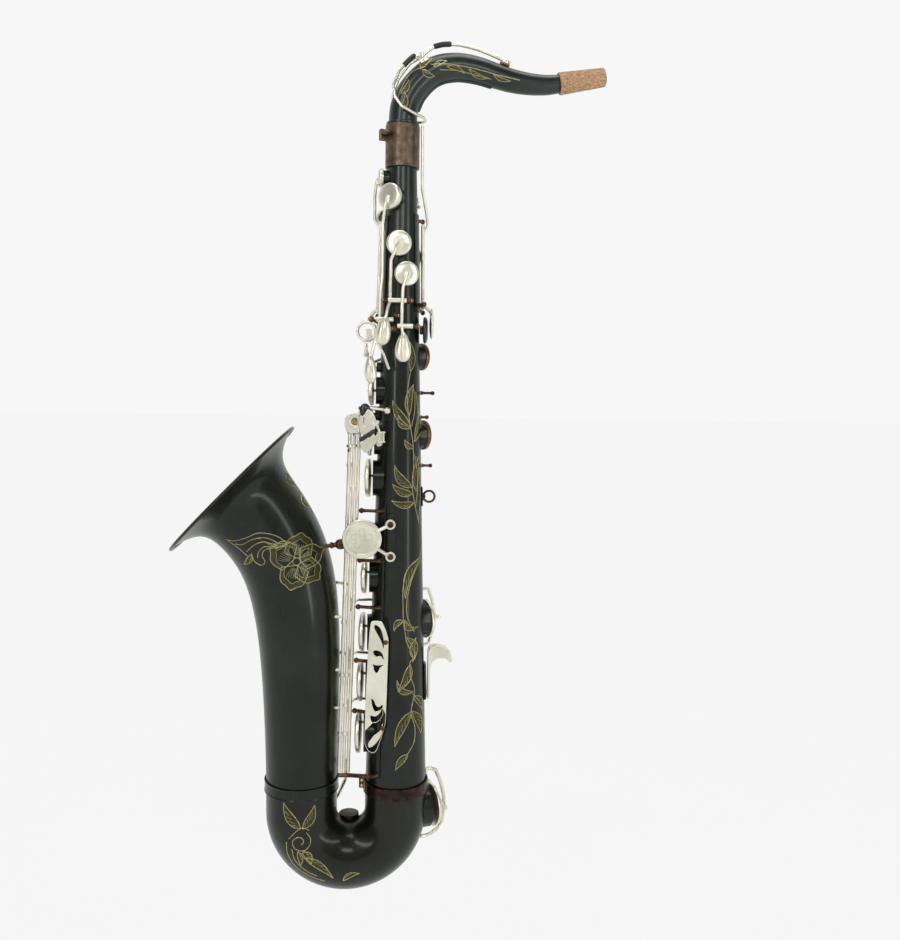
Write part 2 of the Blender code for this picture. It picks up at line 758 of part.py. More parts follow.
def receiver():
    """Sleeve that takes the neck's tenon, split and clamped by a thumb screw."""
    axis = Vector((TUBE_X, 0, 0))
    inner = max(TUBE_TOP_R, NECK_START_R) + FIT
    low = axis + Vector((0, 0, RECEIVER_BOTTOM_Z))
    high = axis + Vector((0, 0, RECEIVER_TOP_Z))
    sleeve = cylinder(low, high, inner + RECEIVER_WALL, 32)
    bore = cylinder(low - Vector((0, 0, 2)), high + Vector((0, 0, 2)), inner, 32)
    lug_z = RECEIVER_TOP_Z - 9.0
    out = around(RECEIVER_SCREW_ANGLE)
    lug_at = axis + out * (inner + RECEIVER_WALL + 2.4) + Vector((0, 0, lug_z))
    lug = block(lug_at, (7.0, 7.0, 9.0), Matrix.Rotation(math.radians(RECEIVER_SCREW_ANGLE - 90), 4, "Z"))
    slit = block(axis + out * (inner + 4) + Vector((0, 0, lug_z + 1)), (14.0, 0.9, 22.0),
                 Matrix.Rotation(math.radians(RECEIVER_SCREW_ANGLE - 90), 4, "Z"))
    across = around(RECEIVER_SCREW_ANGLE + 90)
    screw_hole = cylinder(lug_at - across * 8, lug_at + across * 8, 1.6 + FIT, 8)
    assemble("neck_receiver", [sleeve, lug], BRONZE, cuts=[bore, slit, screw_hole])
    head = lug_at + across * 8.0
    shank = cylinder(lug_at - across * 5.5, head, 1.6, 8)
    wing = ball(head + across * 3.0, 4.6, 10, 6, (1.0, 0.42, 1.0), across)
    assemble("neck_screw", [shank, wing], BRONZE, hinge=(lug_at, -across))


# Keys

def cup_pieces(root, direction, bore, reach):
    """Key cup over a chimney: a low dome, with the point on its top where the arm lands."""
    radius = bore + WALL + CUP_OVERHANG - 0.9
    base = root + direction * (reach + FIT)
    profile = [(0, CUP_HEIGHT), (radius * 0.55, CUP_HEIGHT - 0.1), (radius * 0.88, CUP_HEIGHT - 0.9),
               (radius, CUP_HEIGHT - 2.0), (radius, 0), (0, 0)]
    dome = turned(profile, base, direction, 12)
    return dome, base + direction * (CUP_HEIGHT - 0.6), radius


def cup_arm(hinge_point, landing, direction, radius):
    """Arm from the hinge, over the cup's edge and down to its middle."""
    back = hinge_point - landing
    back -= direction * back.dot(direction)
    edge = landing + back.normalized() * radius * 0.98 + direction * 2.4
    inner = landing + back.normalized() * radius * 0.3 + direction * 1.0
    return bent([hinge_point, edge, inner, landing], ARM_R, 6, 1)


def opening_axis(line, landing, direction):
    """Hinge axis whose positive turn lifts the cup off its tone hole."""
    low, high = line
    axis = (high - low).normalized()
    lift = axis.cross(landing - low)
    return axis if lift.dot(direction) > 0 else -axis


def hole_key(name, seat, line, sleeve, extras=(), rest=0.0, arm_at=None):
    """A brazed key: hinge sleeve, arm, cup and whatever else it carries."""
    root, direction, bore, reach = seat
    dome, landing, radius = cup_pieces(root, direction, bore, reach)
    low = along(line, sleeve[0])
    high = along(line, sleeve[1])
    tube = cylinder(low, high, SLEEVE_R, 6)
    start = along(line, landing.z if arm_at is None else arm_at)
    arm = cup_arm(start, landing, direction, radius)
    axis = opening_axis((low, high), landing, direction)
    return assemble(name, [tube, arm, dome, *extras], SILVER, hinge=(low, axis), rest=rest)


def body_seat(name):
    """Seat of a tone hole on the body tube, with its bore."""
    root, direction, reach = hole_seat(name)
    return root, direction, HOLES[name][2], reach


def stack_line(angle=STACK_ANGLE, reach=STACK_REACH):
    """Hinge line that runs down the body tube at an angle."""
    return on_tube(angle, TUBE_BOTTOM_Z, reach), on_tube(angle, TUBE_TOP_Z, reach)


def pearl(line, z, angle, reach, arm_z):
    """Finger touch: a flat round holder on a bent arm from the hinge line."""
    seat = on_tube(angle, z, reach)
    out = around(angle)
    holder = cylinder(seat, seat + out * 2.6, PEARL_R, 12)
    start = along(line, arm_z)
    corner = on_tube((angle + STACK_ANGLE) / 2, (z + arm_z) / 2, reach + 2.2)
    arm = bent([start, corner, seat + out * 1.0], ARM_R, 6, 1)
    return [holder, arm]


def stack_keys():
    """Finger keys of both hands, all open at rest on one hinge line behind the cups."""
    line = stack_line()
    for name, (hole, low, high, touch_z, touch_reach, arm_z) in {**UPPER_STACK, **LOWER_STACK}.items():
        extras = []
        if touch_z is not None:
            extras = pearl(line, touch_z, -90.0, touch_reach, arm_z)
        middle = min(max(HOLES[hole][1], low + ARM_R), high - ARM_R)
        hole_key(name, body_seat(hole), line, (low, high), extras, STACK_OPEN, arm_at=middle)
    hole_key("g_sharp_key", body_seat("g_sharp"), line, (-54.8, -22.4))


def ribbed_posts(name, angle, heights, reach, low, high):
    """Rib on the body tube with ball-headed posts, soldered together."""
    rib = saddle(angle, RIB_SPREAD * 57.3 / tube_radius((low + high) / 2), low, high)
    pieces = [rib]
    for z in heights:
        root = on_tube(angle, z, FIT + 0.3)
        head = on_tube(angle, z, reach)
        pieces.append(cylinder(root, head, POST_R * 1.3, 6, POST_R))
        pieces.append(ball(head, POST_BALL_R))
    assemble(name, pieces, BRONZE)


def palm_point(dx, z, reach):
    """Point above the palm-key side of the tube."""
    return front(dx, z, reach)


def palm_key(name, hole, hinge_z, span, arm, touch, extra=()):
    """Palm key on a cross hinge: cup above it, teardrop touch below."""
    root, direction, bore, reach = body_seat(hole)
    dome, landing, radius = cup_pieces(root, direction, bore, reach)
    left = palm_point(span[0], hinge_z, PALM_REACH)
    right = palm_point(span[1], hinge_z, PALM_REACH)
    tube = cylinder(left, right, SLEEVE_R, 6)
    upper = [palm_point(*p) for p in arm]
    middle = (left + right) / 2
    start = Vector((upper[-1].x, middle.y, hinge_z))
    start.x = min(max(start.x, left.x + 2), right.x - 2)
    stem = bent([landing, landing + direction * 1.6 + (upper[0] - landing) * 0.35, *upper, start], ARM_R,
                6, 1)
    (dx, z), length, width, way = touch
    pad_at = palm_point(dx, z, 13.5)
    lean = Vector((way, 0, 1))
    drop = ball(pad_at, length / 2, 10, 7, (width / length, 0.26, 1.0), lean)
    lower = bent([start, palm_point((start.x - TUBE_X + dx) / 2, (hinge_z + z) / 2 + 4, 12.0),
                  pad_at + lean.normalized() * length * 0.3], ARM_R, 6, 1)
    axis = Vector((1, 0, 0))
    if axis.cross(landing - left).dot(direction) < 0:
        axis = -axis
    assemble(name, [tube, stem, dome, lower, drop, *extra], SILVER, hinge=(left, axis))


def palm_keys():
    """Keys of high F, E flat and D, worked by the palm of the left hand."""
    fork = bent([palm_point(-22.6, 143.0, 12.0), palm_point(-15.5, 130.0, 10.5),
                 palm_point(-10.7, 117.0, 9.0)],
                1.3, 6, 1)
    palm_key("palm_f_key", "palm_f", 161.3, (-22.6, -7.2),
             [(-17.4, 246.0, 3.0), (-17.4, 200.0, 4.0), (-19.2, 182.0, 6.6)],
             ((-27.2, 117.0), 25.0, 9.0, -0.05), [fork])
    palm_key("palm_eb_key", "palm_eb", 178.4, (-12.2, 4.4),
             [(-9.8, 214.0, 8.2), (-10.2, 190.0, 8.0)], ((-15.6, 151.0), 25.5, 10.5, 0.12))
    palm_key("palm_d_key", "palm_d", 155.8, (-3.8, 10.4),
             [(1.0, 190.0, 11.5), (0.2, 172.0, 11.8)], ((1.5, 136.6), 25.0, 12.0, 0.02))
    pieces = [saddle(-11.0, 76.0, 150.0, 184.0, cells=7)]
    for dx, z in ((-26.8, 161.3), (-4.4, 165.0), (-15.1, 178.4), (7.3, 178.4), (-6.7, 153.2),
                  (13.9, 155.8)):
        head = palm_point(dx, z, PALM_REACH)
        pieces.append(post_to(head))
        pieces.append(ball(head, POST_BALL_R))
    assemble("palm_key_posts", pieces, BRONZE)


def post_to(head):
    """Stem from the saddle on the body tube out to a post's head."""
    off = Vector((head.x - TUBE_X, head.y, 0))
    angle = math.degrees(math.atan2(off.x, -off.y))
    clipped = min(max(angle, -46.0), 24.0)
    root_z = head.z - 6.0 if clipped > angle else head.z
    return cylinder(on_tube(clipped, root_z, FIT + 0.5), head, POST_R * 1.3, 6, POST_R)


def front_f():
    """Front F key: a rod down the bell side, with a cup at its top and a loop touch below."""
    line = (beside(-21.6, -9.5, 150.0), beside(-18.6, -9.0, 262.0))
    root, direction, bore, reach = body_seat("front_f")
    dome, landing, _ = cup_pieces(root, direction, bore, reach)
    low, high = along(line, 168.5), along(line, 250.0)
    tube = cylinder(low, high, ROD_R, 6)
    leave = along(line, 243.0)
    neck_of_arm = bent([leave, leave + Vector((-5.5, 0, 8.0)), landing + Vector((-3.4, -3.0, -16.0)),
                        landing + Vector((-1.8, 0, -3.0)), landing], ARM_R, 6, 1)
    loop_at = beside(-31.0, -8.0, 151.5)
    loop = hoop(loop_at, (0.1, 1.0, 0), 8.6, 1.5, turns=10)
    stem = bent([along(line, 172.0), beside(-25.5, -9.0, 168.0), loop_at + Vector((1.0, 0, 8.4))], ARM_R,
                6, 1)
    pad = block(loop_at + Vector((2.0, 0, -3.0)), (5.0, 4.2, 10.5))
    axis = opening_axis((low, high), landing, direction)
    assemble("front_f_key", [tube, neck_of_arm, dome, stem, loop, pad], SILVER, hinge=(low, axis))
    rib = saddle(-68.0, 20.0, 160.0, 256.0)
    pieces = [rib]
    for z in (165.2, 253.2):
        head = along(line, z)
        off = Vector((head.x - TUBE_X, head.y, 0))
        angle = math.degrees(math.atan2(off.x, -off.y))
        pieces.append(cylinder(on_tube(angle, z, FIT + 0.3), head, POST_R * 1.3, 6, POST_R))
        pieces.append(ball(head, POST_BALL_R))
    assemble("front_f_posts", pieces, BRONZE)


def side_keys():
    """Long-rod keys worked by the side of the right hand, at the back."""
    for name, (hole, angle, touch_z, high) in SIDE_KEYS.items():
        low = SIDE_SLEEVE_LOW
        line = stack_line(angle, SIDE_REACH)
        touch_at = on_tube(angle, touch_z, SIDE_REACH + 8.5)
        touch = block(touch_at, (8.5, 2.6, 25.0), Matrix.Rotation(math.radians(angle), 4, "Z"))
        stem = cylinder(on_tube(angle, touch_z, SIDE_REACH), touch_at, 1.8, 6)
        hole_key(name, body_seat(hole), line, (low, high), [touch, stem])
    low_z = SIDE_SLEEVE_LOW - POST_BALL_R - FIT
    posts_ring("side_key_posts_low", low_z, [angle for _, angle, _, _ in SIDE_KEYS.values()])
    heads = [(angle, top + POST_BALL_R + FIT) for _, angle, _, top in SIDE_KEYS.values()]
    first, last = heads[0], heads[-1]
    slope = (last[0] - first[0]) / (last[1] - first[1])
    middle_z = (first[1] + last[1]) / 2
    rib = saddle((first[0] + last[0]) / 2, 10.0, first[1] - 5.0, last[1] + 5.0, rows=4, cells=2,
                 twist=slope)
    pieces = [rib]
    for angle, z in heads:
        rib_angle = (first[0] + last[0]) / 2 + (z - middle_z) * slope
        head = on_tube(angle, z, SIDE_REACH)
        pieces.append(cylinder(on_tube(rib_angle, z, FIT + 0.4), head, POST_R * 1.3, 6, POST_R))
        pieces.append(ball(head, POST_BALL_R))
    assemble("side_key_posts_high", pieces, BRONZE)


def post_on_line(angle, z, reach):
    """Stem and ball of one post under a hinge line."""
    head = on_tube(angle, z, reach)
    stem = cylinder(on_tube(angle, z, FIT + 0.3), head, POST_R * 1.3, 6, POST_R)
    return [stem, ball(head, POST_BALL_R)]


def posts_ring(name, z, angles):
    """Curved plate with a row of posts."""
    pieces = [saddle(sum(angles) / len(angles), angles[-1] - angles[0] + 10, z - 3.5, z + 3.5, cells=8)]
    for angle in angles:
        pieces += post_on_line(angle, z, SIDE_REACH)
    assemble(name, pieces, BRONZE)


def eb_key():
    """E flat key on the player's side, worked from a touch at the right."""
    line = stack_line(PLAYER_LINE_ANGLE, PLAYER_LINE_REACH)
    roller = on_tube(PLAYER_LINE_ANGLE, -168.0, 16.0)
    touch = block(roller, (13.0, 3.0, 12.0), Matrix.Rotation(math.radians(PLAYER_LINE_ANGLE), 4, "Z"))
    stem = cylinder(along(line, -166.0), roller, 1.8, 6)
    hole_key("eb_key", body_seat("eb"), line, (-174.0, -104.0), [touch, stem])


def low_c_key():
    """Low C key on the player's side of the bow."""
    line = stack_line(PLAYER_LINE_ANGLE, PLAYER_LINE_REACH)
    seat = low_c_seat()
    roller = on_tube(PLAYER_LINE_ANGLE, -190.0, 16.0)
    touch = block(roller, (13.0, 3.0, 12.0), Matrix.Rotation(math.radians(PLAYER_LINE_ANGLE), 4, "Z"))
    stem = cylinder(along(line, -192.0), roller, 1.8, 6)
    hole_key("low_c_key", seat, line, (-262.0, -180.6), [touch, stem], rest=LOW_C_OPEN, arm_at=-258.0)
    pieces = [saddle(PLAYER_LINE_ANGLE, 14.0, -262.8, -97.0)]
    for z in (-100.8, -177.3, -265.3):
        head = along(line, z)
        off = Vector((head.x - TUBE_X, head.y, 0))
        angle = math.degrees(math.atan2(off.x, -off.y))
        root_z = max(z, -260.0)
        pieces.append(cylinder(on_tube(angle, root_z, FIT + 0.75), head, POST_R * 1.3, 6, POST_R))
        pieces.append(ball(head, POST_BALL_R))
    assemble("player_side_posts", pieces, BRONZE)


# Low keys on the bell and bow

def table_plate(dx, z, width, height, y):
    """Flat touch of the little-finger table."""
    return block(beside(dx, y, z), (width, 2.2, height))


def low_keys():
    """Low C sharp, B and B flat: a touch at the table, a long rod and a cup behind."""
    plate_y = -tube_radius(60.0) - 3.6
    middle = Vector((0, 1, 0))
    specs = {
        "low_bb_key": (0, LOW_BB_SHARE, (-29.0 + TABLE_GAP + 5.0, 50.0, 10.0, 15.0), 43.6),
        "low_b_key": (1, LOW_B_SHARE, (-29.0 - 4.4, 53.6, 8.8, 14.0), 58.6),
    }
    for name, (number, share, (dx, z, width, height), arm_z) in specs.items():
        line = low_rod(number)
        root, direction, bore, reach = bell_seat(share)
        dome, landing, radius = cup_pieces(root, direction, bore, reach)
        low, high = along(line, ROD_BOTTOM_Z + POST_BALL_R + FIT), along(line, SHORT_ROD_TOP_Z)
        tube = cylinder(low, high, ROD_R, 6)
        start = along(line, landing.z)
        side = landing + middle * 4.5 + Vector((radius * 0.9, 0, 0))
        arm = bent([start, start + Vector((0, 15, 0)),
                    Vector((start.x - 1.0, landing.y * 0.80, landing.z)),
                    side, landing + Vector((-4.0, 0.6, 0))], 1.9, 6, 2)
        stem_z = arm_z
        touch = table_plate(dx, z, width, height, plate_y)
        stem_start = along(line, stem_z)
        stem = rod([stem_start, Vector((stem_start.x, plate_y, stem_z)),
                    Vector((TUBE_X + dx, plate_y, stem_z))], ARM_R)
        axis = opening_axis((low, high), landing, direction)
        assemble(name, [tube, arm, dome, stem, touch], SILVER, hinge=(low, axis), rest=LOW_BELL_OPEN)
    low_cs(plate_y)


def low_cs(plate_y):
    """Low C sharp key: its cup is on the back of the bow."""
    line = low_rod(2)
    root, direction, bore, reach = low_cs_seat()
    dome, landing, radius = cup_pieces(root, direction, bore, reach)
    low, high = along(line, ROD_BOTTOM_Z + POST_BALL_R + FIT), along(line, ROD_TOP_Z - FIT)
    tube = cylinder(low, high, ROD_R, 6)
    start = along(line, ROD_BOTTOM_Z + 14)
    arm = bent([start, start + Vector((-2.3, 22.2, -10)), Vector((start.x - 3.3, 31, start.z - 36)),
                landing + Vector((radius * 0.66, 3.8, radius * 0.72)), landing + Vector((1.6, 1.2, 3.8)),
                landing],
               1.9, 6, 2)
    touch = table_plate(-43.0, ROD_TOP_Z - 7.6, 9.0, 12.0, plate_y)
    stem_z = ROD_TOP_Z - 4.4
    stem_start = along(line, stem_z)
    corner = Vector((TUBE_X - 43.0, stem_start.y, stem_z))
    stem = rod([stem_start, corner, Vector((corner.x, plate_y, stem_z))], ARM_R)
    axis = opening_axis((low, high), landing, direction)
    assemble("low_cs_key", [tube, arm, dome, stem, touch], SILVER, hinge=(low, axis))


def g_sharp_touch():
    """G sharp touch: the top plate of the table on a short hinge of its own."""
    plate_y = -tube_radius(60.0) - 3.6
    at = beside(-33.8, plate_y + 2.4, 0)
    low = at + Vector((0, 0, ROD_TOP_Z - 14.0))
    high = at + Vector((0, 0, ROD_TOP_Z - 1.0))
    tube = cylinder(low, high, ROD_R, 6)
    touch = table_plate(-27.0, ROD_TOP_Z - 9.6, 20.0, 15.4, plate_y)
    assemble("g_sharp_touch", [tube, touch], SILVER, hinge=(low, Vector((0, 0, -1))))


def table_bracket():
    """Bracket on the body that carries the table's hinge and the top of the longest low rod."""
    plate_y = -tube_radius(60.0) - 3.6
    z = ROD_TOP_Z + 1.8
    rib = saddle(-32.0, 20.0, z - 12, z + 4)
    root = [on_tube(-32.0, z, FIT + 0.5), on_tube(-36.0, z, 5.0)]
    corner = beside(-33.8, plate_y + 2.4, z)
    far = beside(ROD_TOP_DX + ROD_PITCH * 1.5, ROD_Y, z)
    bar = rod([*root, corner, far], 2.0)
    assemble("table_bracket", [rib, bar], BRONZE)


def rod_posts():
    """Rib on the body with a foot for the low rods and steadying posts along them."""
    line = low_rod(2)
    rib_angle = -37.0
    rib = saddle(rib_angle, 9.0, -262.0, -7.0, rows=1)
    pieces = [rib]
    for z in ROD_POSTS:
        tip = along(line, z) + Vector((ROD_R + FIT + POST_R, 0, 0))
        pieces.append(rod([on_tube(rib_angle, z, FIT + 0.75), on_tube(rib_angle - 3, z, 4.5), tip], POST_R))
        pieces.append(ball(tip + Vector((0.6, 0, 0)), 1.9))
    z = ROD_BOTTOM_Z
    foot = along(low_rod(0), z)
    near = along(low_rod(2), z)
    pieces.append(rod([on_tube(rib_angle, z + 3, FIT + 0.75), on_tube(rib_angle - 3, z + 3, 5.0), near,
                       foot], 2.0))
    assemble("low_rod_posts", pieces, BRONZE)


# Fittings

def strap_ring():
    """Ring that the neck strap hooks into, on its base plate."""
    ring = hoop((0, 0, 0), (0, 1, 0), 5.3, 1.1, turns=14, sides=6)
    base = saddle(90.0, 26.0, -9.0, 9.0)
    tip = ball((-STRAP_STANDOFF + 2.4, 0, 0), 1.7)
    assemble("strap_ring", [base, tip, ring], BRONZE)


def thumb_parts():
    """Thumb rest, octave lever and the hook for the right thumb."""
    angle = 84.0
    root = on_tube(angle, THUMB_REST_Z, FIT + 0.3)
    disc = turned([(0, 7.4), (9.0, 7.2), (11.6, 6.0), (12.2, 4.6), (11.4, 3.4), (0, 3.4)], root,
                  around(angle), 16)
    foot = cylinder(root, root + around(angle) * 4.0, 4.0, 10)
    assemble("thumb_rest", [disc, foot], DARK)
    skin = on_tube(90.0, HOOK_Z).x
    base = saddle(90.0, 30.0, HOOK_Z - 17, HOOK_Z + 17, thickness=1.6)
    assemble("thumb_hook_base", [base], BRONZE)
    plate_x = skin + FIT + 1.6 + FIT + 1.6
    outline = [(plate_x - 1.0, -192.0), (plate_x + 1.0, -192.0), (plate_x + 1.2, -164.0),
               (plate_x + 3.4, -156.5),
               (plate_x + 9.0, -153.0), (plate_x + 16.0, -153.4), (plate_x + 21.0, -157.6),
               (plate_x + 22.6, -155.0),
               (plate_x + 20.6, -148.6), (plate_x + 15.6, -144.0), (plate_x + 8.0, -142.0),
               (plate_x + 1.0, -143.0), (plate_x - 1.0, -148.0)]
    hook = sheet_cut(outline, 13.0, side_plane(0.0))
    assemble("thumb_hook", [hook], SILVER, hinge=(Vector((plate_x, 0, HOOK_Z)), Vector((0, 0, 1))))


def octave_parts():
    """Octave lever, the rod with its pin, the body vent's key and their posts."""
    rod_line = (beside(20.9, 8.5, 160.0), beside(19.6, 8.5, 256.0))
    low, high = along(rod_line, 173.8), along(rod_line, 250.6)
    tube = cylinder(low, high, ROD_R, 6)
    leave = along(rod_line, 244.0)
    pin = [leave, leave + Vector((4.8, 2.0, 7.0)), beside(22.4, 7.0, 264.0), beside(18.6, 1.6, 282.0),
           beside(18.2, 0.0, 298.0),
           beside(18.4, 0.0, 316.0), beside(17.6, 0.0, 338.0)]
    assemble("octave_rod", [tube, bent(pin, 1.4, 6, 1)], SILVER, hinge=(low, Vector((0, 0, -1))))
    pivot = on_tube(66.0, 176.0, 6.0)
    sleeve = cylinder(pivot - Vector((0, 3.9, 0)), pivot + Vector((0, 3.9, 0)), SLEEVE_R, 6)
    kidney_at = on_tube(84.0, 160.0, 11.5)
    kidney = ball(kidney_at, 14.5, 10, 6, (0.62, 0.14, 1.0))
    kidney.matrix_world = Matrix.Translation(kidney_at * MM) @ Matrix.Rotation(math.pi / 2, 4, "Z")
    arm = bent([pivot, pivot + Vector((4.5, 1.0, -4)), kidney_at + Vector((0, -1, 9))], ARM_R, 6, 1)
    assemble("octave_lever", [sleeve, arm, kidney], SILVER, hinge=(pivot, Vector((0, -1, 0))))
    vent()
    pieces = [saddle(77.0, 58.0, 170.0, 258.0, cells=6)]
    for z in (170.8, 253.8):
        head = along(rod_line, z)
        pieces.append(cylinder(on_tube(104.0, max(z, 173.0), FIT + 0.7), head, POST_R * 1.3, 6, POST_R))
        pieces.append(ball(head, POST_BALL_R))
    for side in (-1, 1):
        head = pivot + Vector((0, side * (4.5 + FIT + POST_BALL_R), 0))
        pieces.append(cylinder(on_tube(66.0 + side * 15, 176.0, FIT + 0.8), head, POST_R * 1.2, 6, POST_R))
        pieces.append(ball(head, POST_BALL_R))
    assemble("octave_posts", pieces, BRONZE)


def vent():
    """Small key over the octave pip at the top of the body."""
    angle, z, bore = OCTAVE_PIP
    root = Vector((TUBE_X, 0, z))
    direction = around(angle)
    reach = tube_radius(z) + 3
    base = root + direction * (reach + FIT)
    dome = turned([(0, 3.0), (2.6, 2.8), (3.6, 1.8), (3.6, 0), (0, 0)], base, direction, 10)
    pivot = on_tube(angle - 4.0, z - 15.0, 6.0)
    across = around(angle + 90.0)
    sleeve = cylinder(pivot - across * 4, pivot + across * 4, 1.8, 8)
    arm = bent([pivot, pivot + direction * 2.4 + Vector((0, 0, 7)), base + direction * 2.6], 1.3, 6, 1)
    axis = across
    if axis.cross(base - pivot).dot(direction) < 0:
        axis = -axis
    assemble("octave_vent_key", [sleeve, arm, dome], SILVER, hinge=(pivot, axis))


def neck_octave_key():
    """Octave key of the neck: pad arm on top, pivot saddle and a ring round the neck."""
    hinge_at = beside(16.0, 0, RECEIVER_TOP_Z + 62.0)
    pad_at = beside(92.2, 0, RECEIVER_TOP_Z + 60.0)
    down = Vector((-0.26, 0, -0.97))
    cup = turned([(0, 2.6), (3.4, 2.3), (4.8, 1.2), (4.8, -1.4), (0, -1.4)], pad_at, -down, 12)
    arch = bent([hinge_at, beside(26.5, 0, RECEIVER_TOP_Z + 70.6), beside(45.0, 0, RECEIVER_TOP_Z + 74.2),
                 beside(64.5, 0, RECEIVER_TOP_Z + 71.4), beside(80.0, 0, RECEIVER_TOP_Z + 66.4),
                 pad_at + Vector((0, 0, 1.6))], 1.6, 6, 3)
    clear = NECK_START_R + 3.4
    ring_z = RECEIVER_TOP_Z + 6.4
    pieces = [cylinder(hinge_at - Vector((0, 5, 0)), hinge_at + Vector((0, 5, 0)), 2.2, 8), arch, cup]
    halves = []
    for side in (-1, 1):
        halves.append(bent([
            hinge_at + Vector((-1.0, side * 3.0, 0)), beside(6.0, side * 6.5, RECEIVER_TOP_Z + 57.6),
            beside(-3.6, side * 11.5, RECEIVER_TOP_Z + 46.0), beside(-9.4, side * (clear - 1.0),
                                                                     RECEIVER_TOP_Z + 31.0),
            beside(-7.4, side * clear, RECEIVER_TOP_Z + 21.0), beside(-1.4, side * (clear + 0.4),
                                                                      RECEIVER_TOP_Z + 13.0),
            beside(10.0, side * (clear - 2.4), ring_z + 1.6), beside(18.4, side * 7.6, ring_z),
            beside(20.8, 0, ring_z - 0.2)], 1.35, 6, 1))
    hinge = (hinge_at, Vector((0, 1, 0)))
    assemble("neck_octave_key", [*pieces, *halves], SILVER, hinge=hinge)
    foot_mid = beside(16.0, 0, 0)
    posts = []
    for side in (-1, 1):
        posts.append(ball(hinge_at + Vector((0, side * 7.8, 0)), 2.1))
        posts.append(cylinder(hinge_at + Vector((0, side * 7.8, 0)),
                              Vector((foot_mid.x + 1.6, side * 7.4, RECEIVER_TOP_Z + 56.0)), 1.5, 6))
    base = block(Vector((foot_mid.x + 2.4, 0, RECEIVER_TOP_Z + 56.6)), (8.0, 17.0, 4.4),
                 Matrix.Rotation(math.radians(-34), 4, "Y"))
    points = neck_path()
    clear_of_neck = curve_to_mesh(poly_curve(points, [r + FIT + 0.2 for r in neck_radii(points)],
                                             NECK_SIDES))
    assemble("octave_key_saddle", [base, *posts], SILVER, cuts=[clear_of_neck],
             hinge=(Vector((TUBE_X, 0, RECEIVER_TOP_Z)), Vector((0, 0, 1))))


def brace():
    """Ring brace between the bell and the body, with its boss on each."""
    disc_at = beside(-33.6, 0, -36.5)
    face_y = -tube_radius(-36.5) - 4.4
    disc_at.y = face_y
    out = Vector((0, -1, 0))
    disc = turned([(0, 2.2), (14.4, 2.2), (14.8, 1.4), (17.2, 1.6), (18.0, 0.8), (18.0, -1.8), (0, -1.8)],
                  disc_at, out, 20)
    rings = []
    bosses = []
    for dx, z in ((-8.0, -23.2), (-7.7, -52.7)):
        eye = Vector((TUBE_X + dx, face_y, z))
        rings.append(cylinder(eye - out * 1.2, eye + out * 1.2, 4.7, 14))
        start = disc_at + (eye - disc_at).normalized() * 16.5
        rings.append(rod([start, eye], 1.1))
        bosses.append(eye)
    left = Vector((TUBE_X - 52.7, face_y + 7.0, -42.2))
    assemble("bell_brace", [disc, *rings], SILVER)
    ball_foot = ball(left, 4.6, 10, 6)
    path = bell_path([0.735])[0]
    stem_end = Vector((path.x + 46.5, left.y, -44.5))
    stem = cylinder(left, stem_end, 1.9, 8)
    assemble("brace_bell_foot", [ball_foot, stem], BRONZE)
    foot_plate = saddle(-18.0, 20.0, -62.0, -14.0, lift=FIT, thickness=0.9)
    studs = []
    for eye in bosses:
        off = Vector((eye.x - TUBE_X, eye.y, 0))
        angle = math.degrees(math.atan2(off.x, -off.y))
        studs.append(cylinder(on_tube(angle, eye.z, FIT + 0.3), on_tube(angle, eye.z, 2.4), 3.0, 10))
    assemble("brace_body_foot", [foot_plate, *studs], BRONZE)


def guards():
    """Guards: the flame-cut clothes guard and the cages over the low keys."""
    clothes_guard()
    sheet_guard("eb_guard", 126.0, -119.0, 20.5)
    low_c_guard()
    bell_guard()


def clothes_guard():
    """Flat flame-cut plate beside the lower stack, on two bosses."""
    y = -tube_radius(-208.0) - 1.0
    outline = [(-25.0, -112.8), (-18.6, -112.8), (-11.6, -119.5), (-8.6, -128.0), (-8.5, -137.0),
               (-11.0, -205.0),
               (-12.4, -217.0), (-18.6, -233.6), (-23.0, -236.0), (-28.4, -231.0), (-29.6, -221.0),
               (-28.6, -178.0),
               (-26.4, -125.0)]
    placed = side_plane(y)
    shifted = [(TUBE_X + dx, z) for dx, z in outline]
    cuts = []
    for low, high in ((-141.0, -119.0), (-158.5, -145.5), (-176.0, -163.0), (-203.5, -193.0),
                      (-221.0, -209.0)):
        lean = -0.022
        mid = TUBE_X - 19.6 + (low + 166) * -lean * 0.6
        height = high - low
        slot = [(mid - 4.6, low + height * 0.25), (mid + 1.0, low), (mid + 5.0, low + height * 0.45),
                (mid + 3.6, high), (mid - 1.2, low + height * 0.7)]
        cuts.append(slot)
    plate = sheet_cut(shifted, 1.4, placed, cuts)
    bosses = []
    for dx, z in ((-11.2, -131.6), (-13.2, -212.0)):
        eye = Vector((TUBE_X + dx, y, z))
        off = Vector((dx, y, 0))
        angle = math.degrees(math.atan2(off.x, -off.y))
        bosses.append(cylinder(on_tube(angle, z, FIT), eye, 2.3, 8))
    assemble("clothes_guard", [plate, *bosses], SILVER)


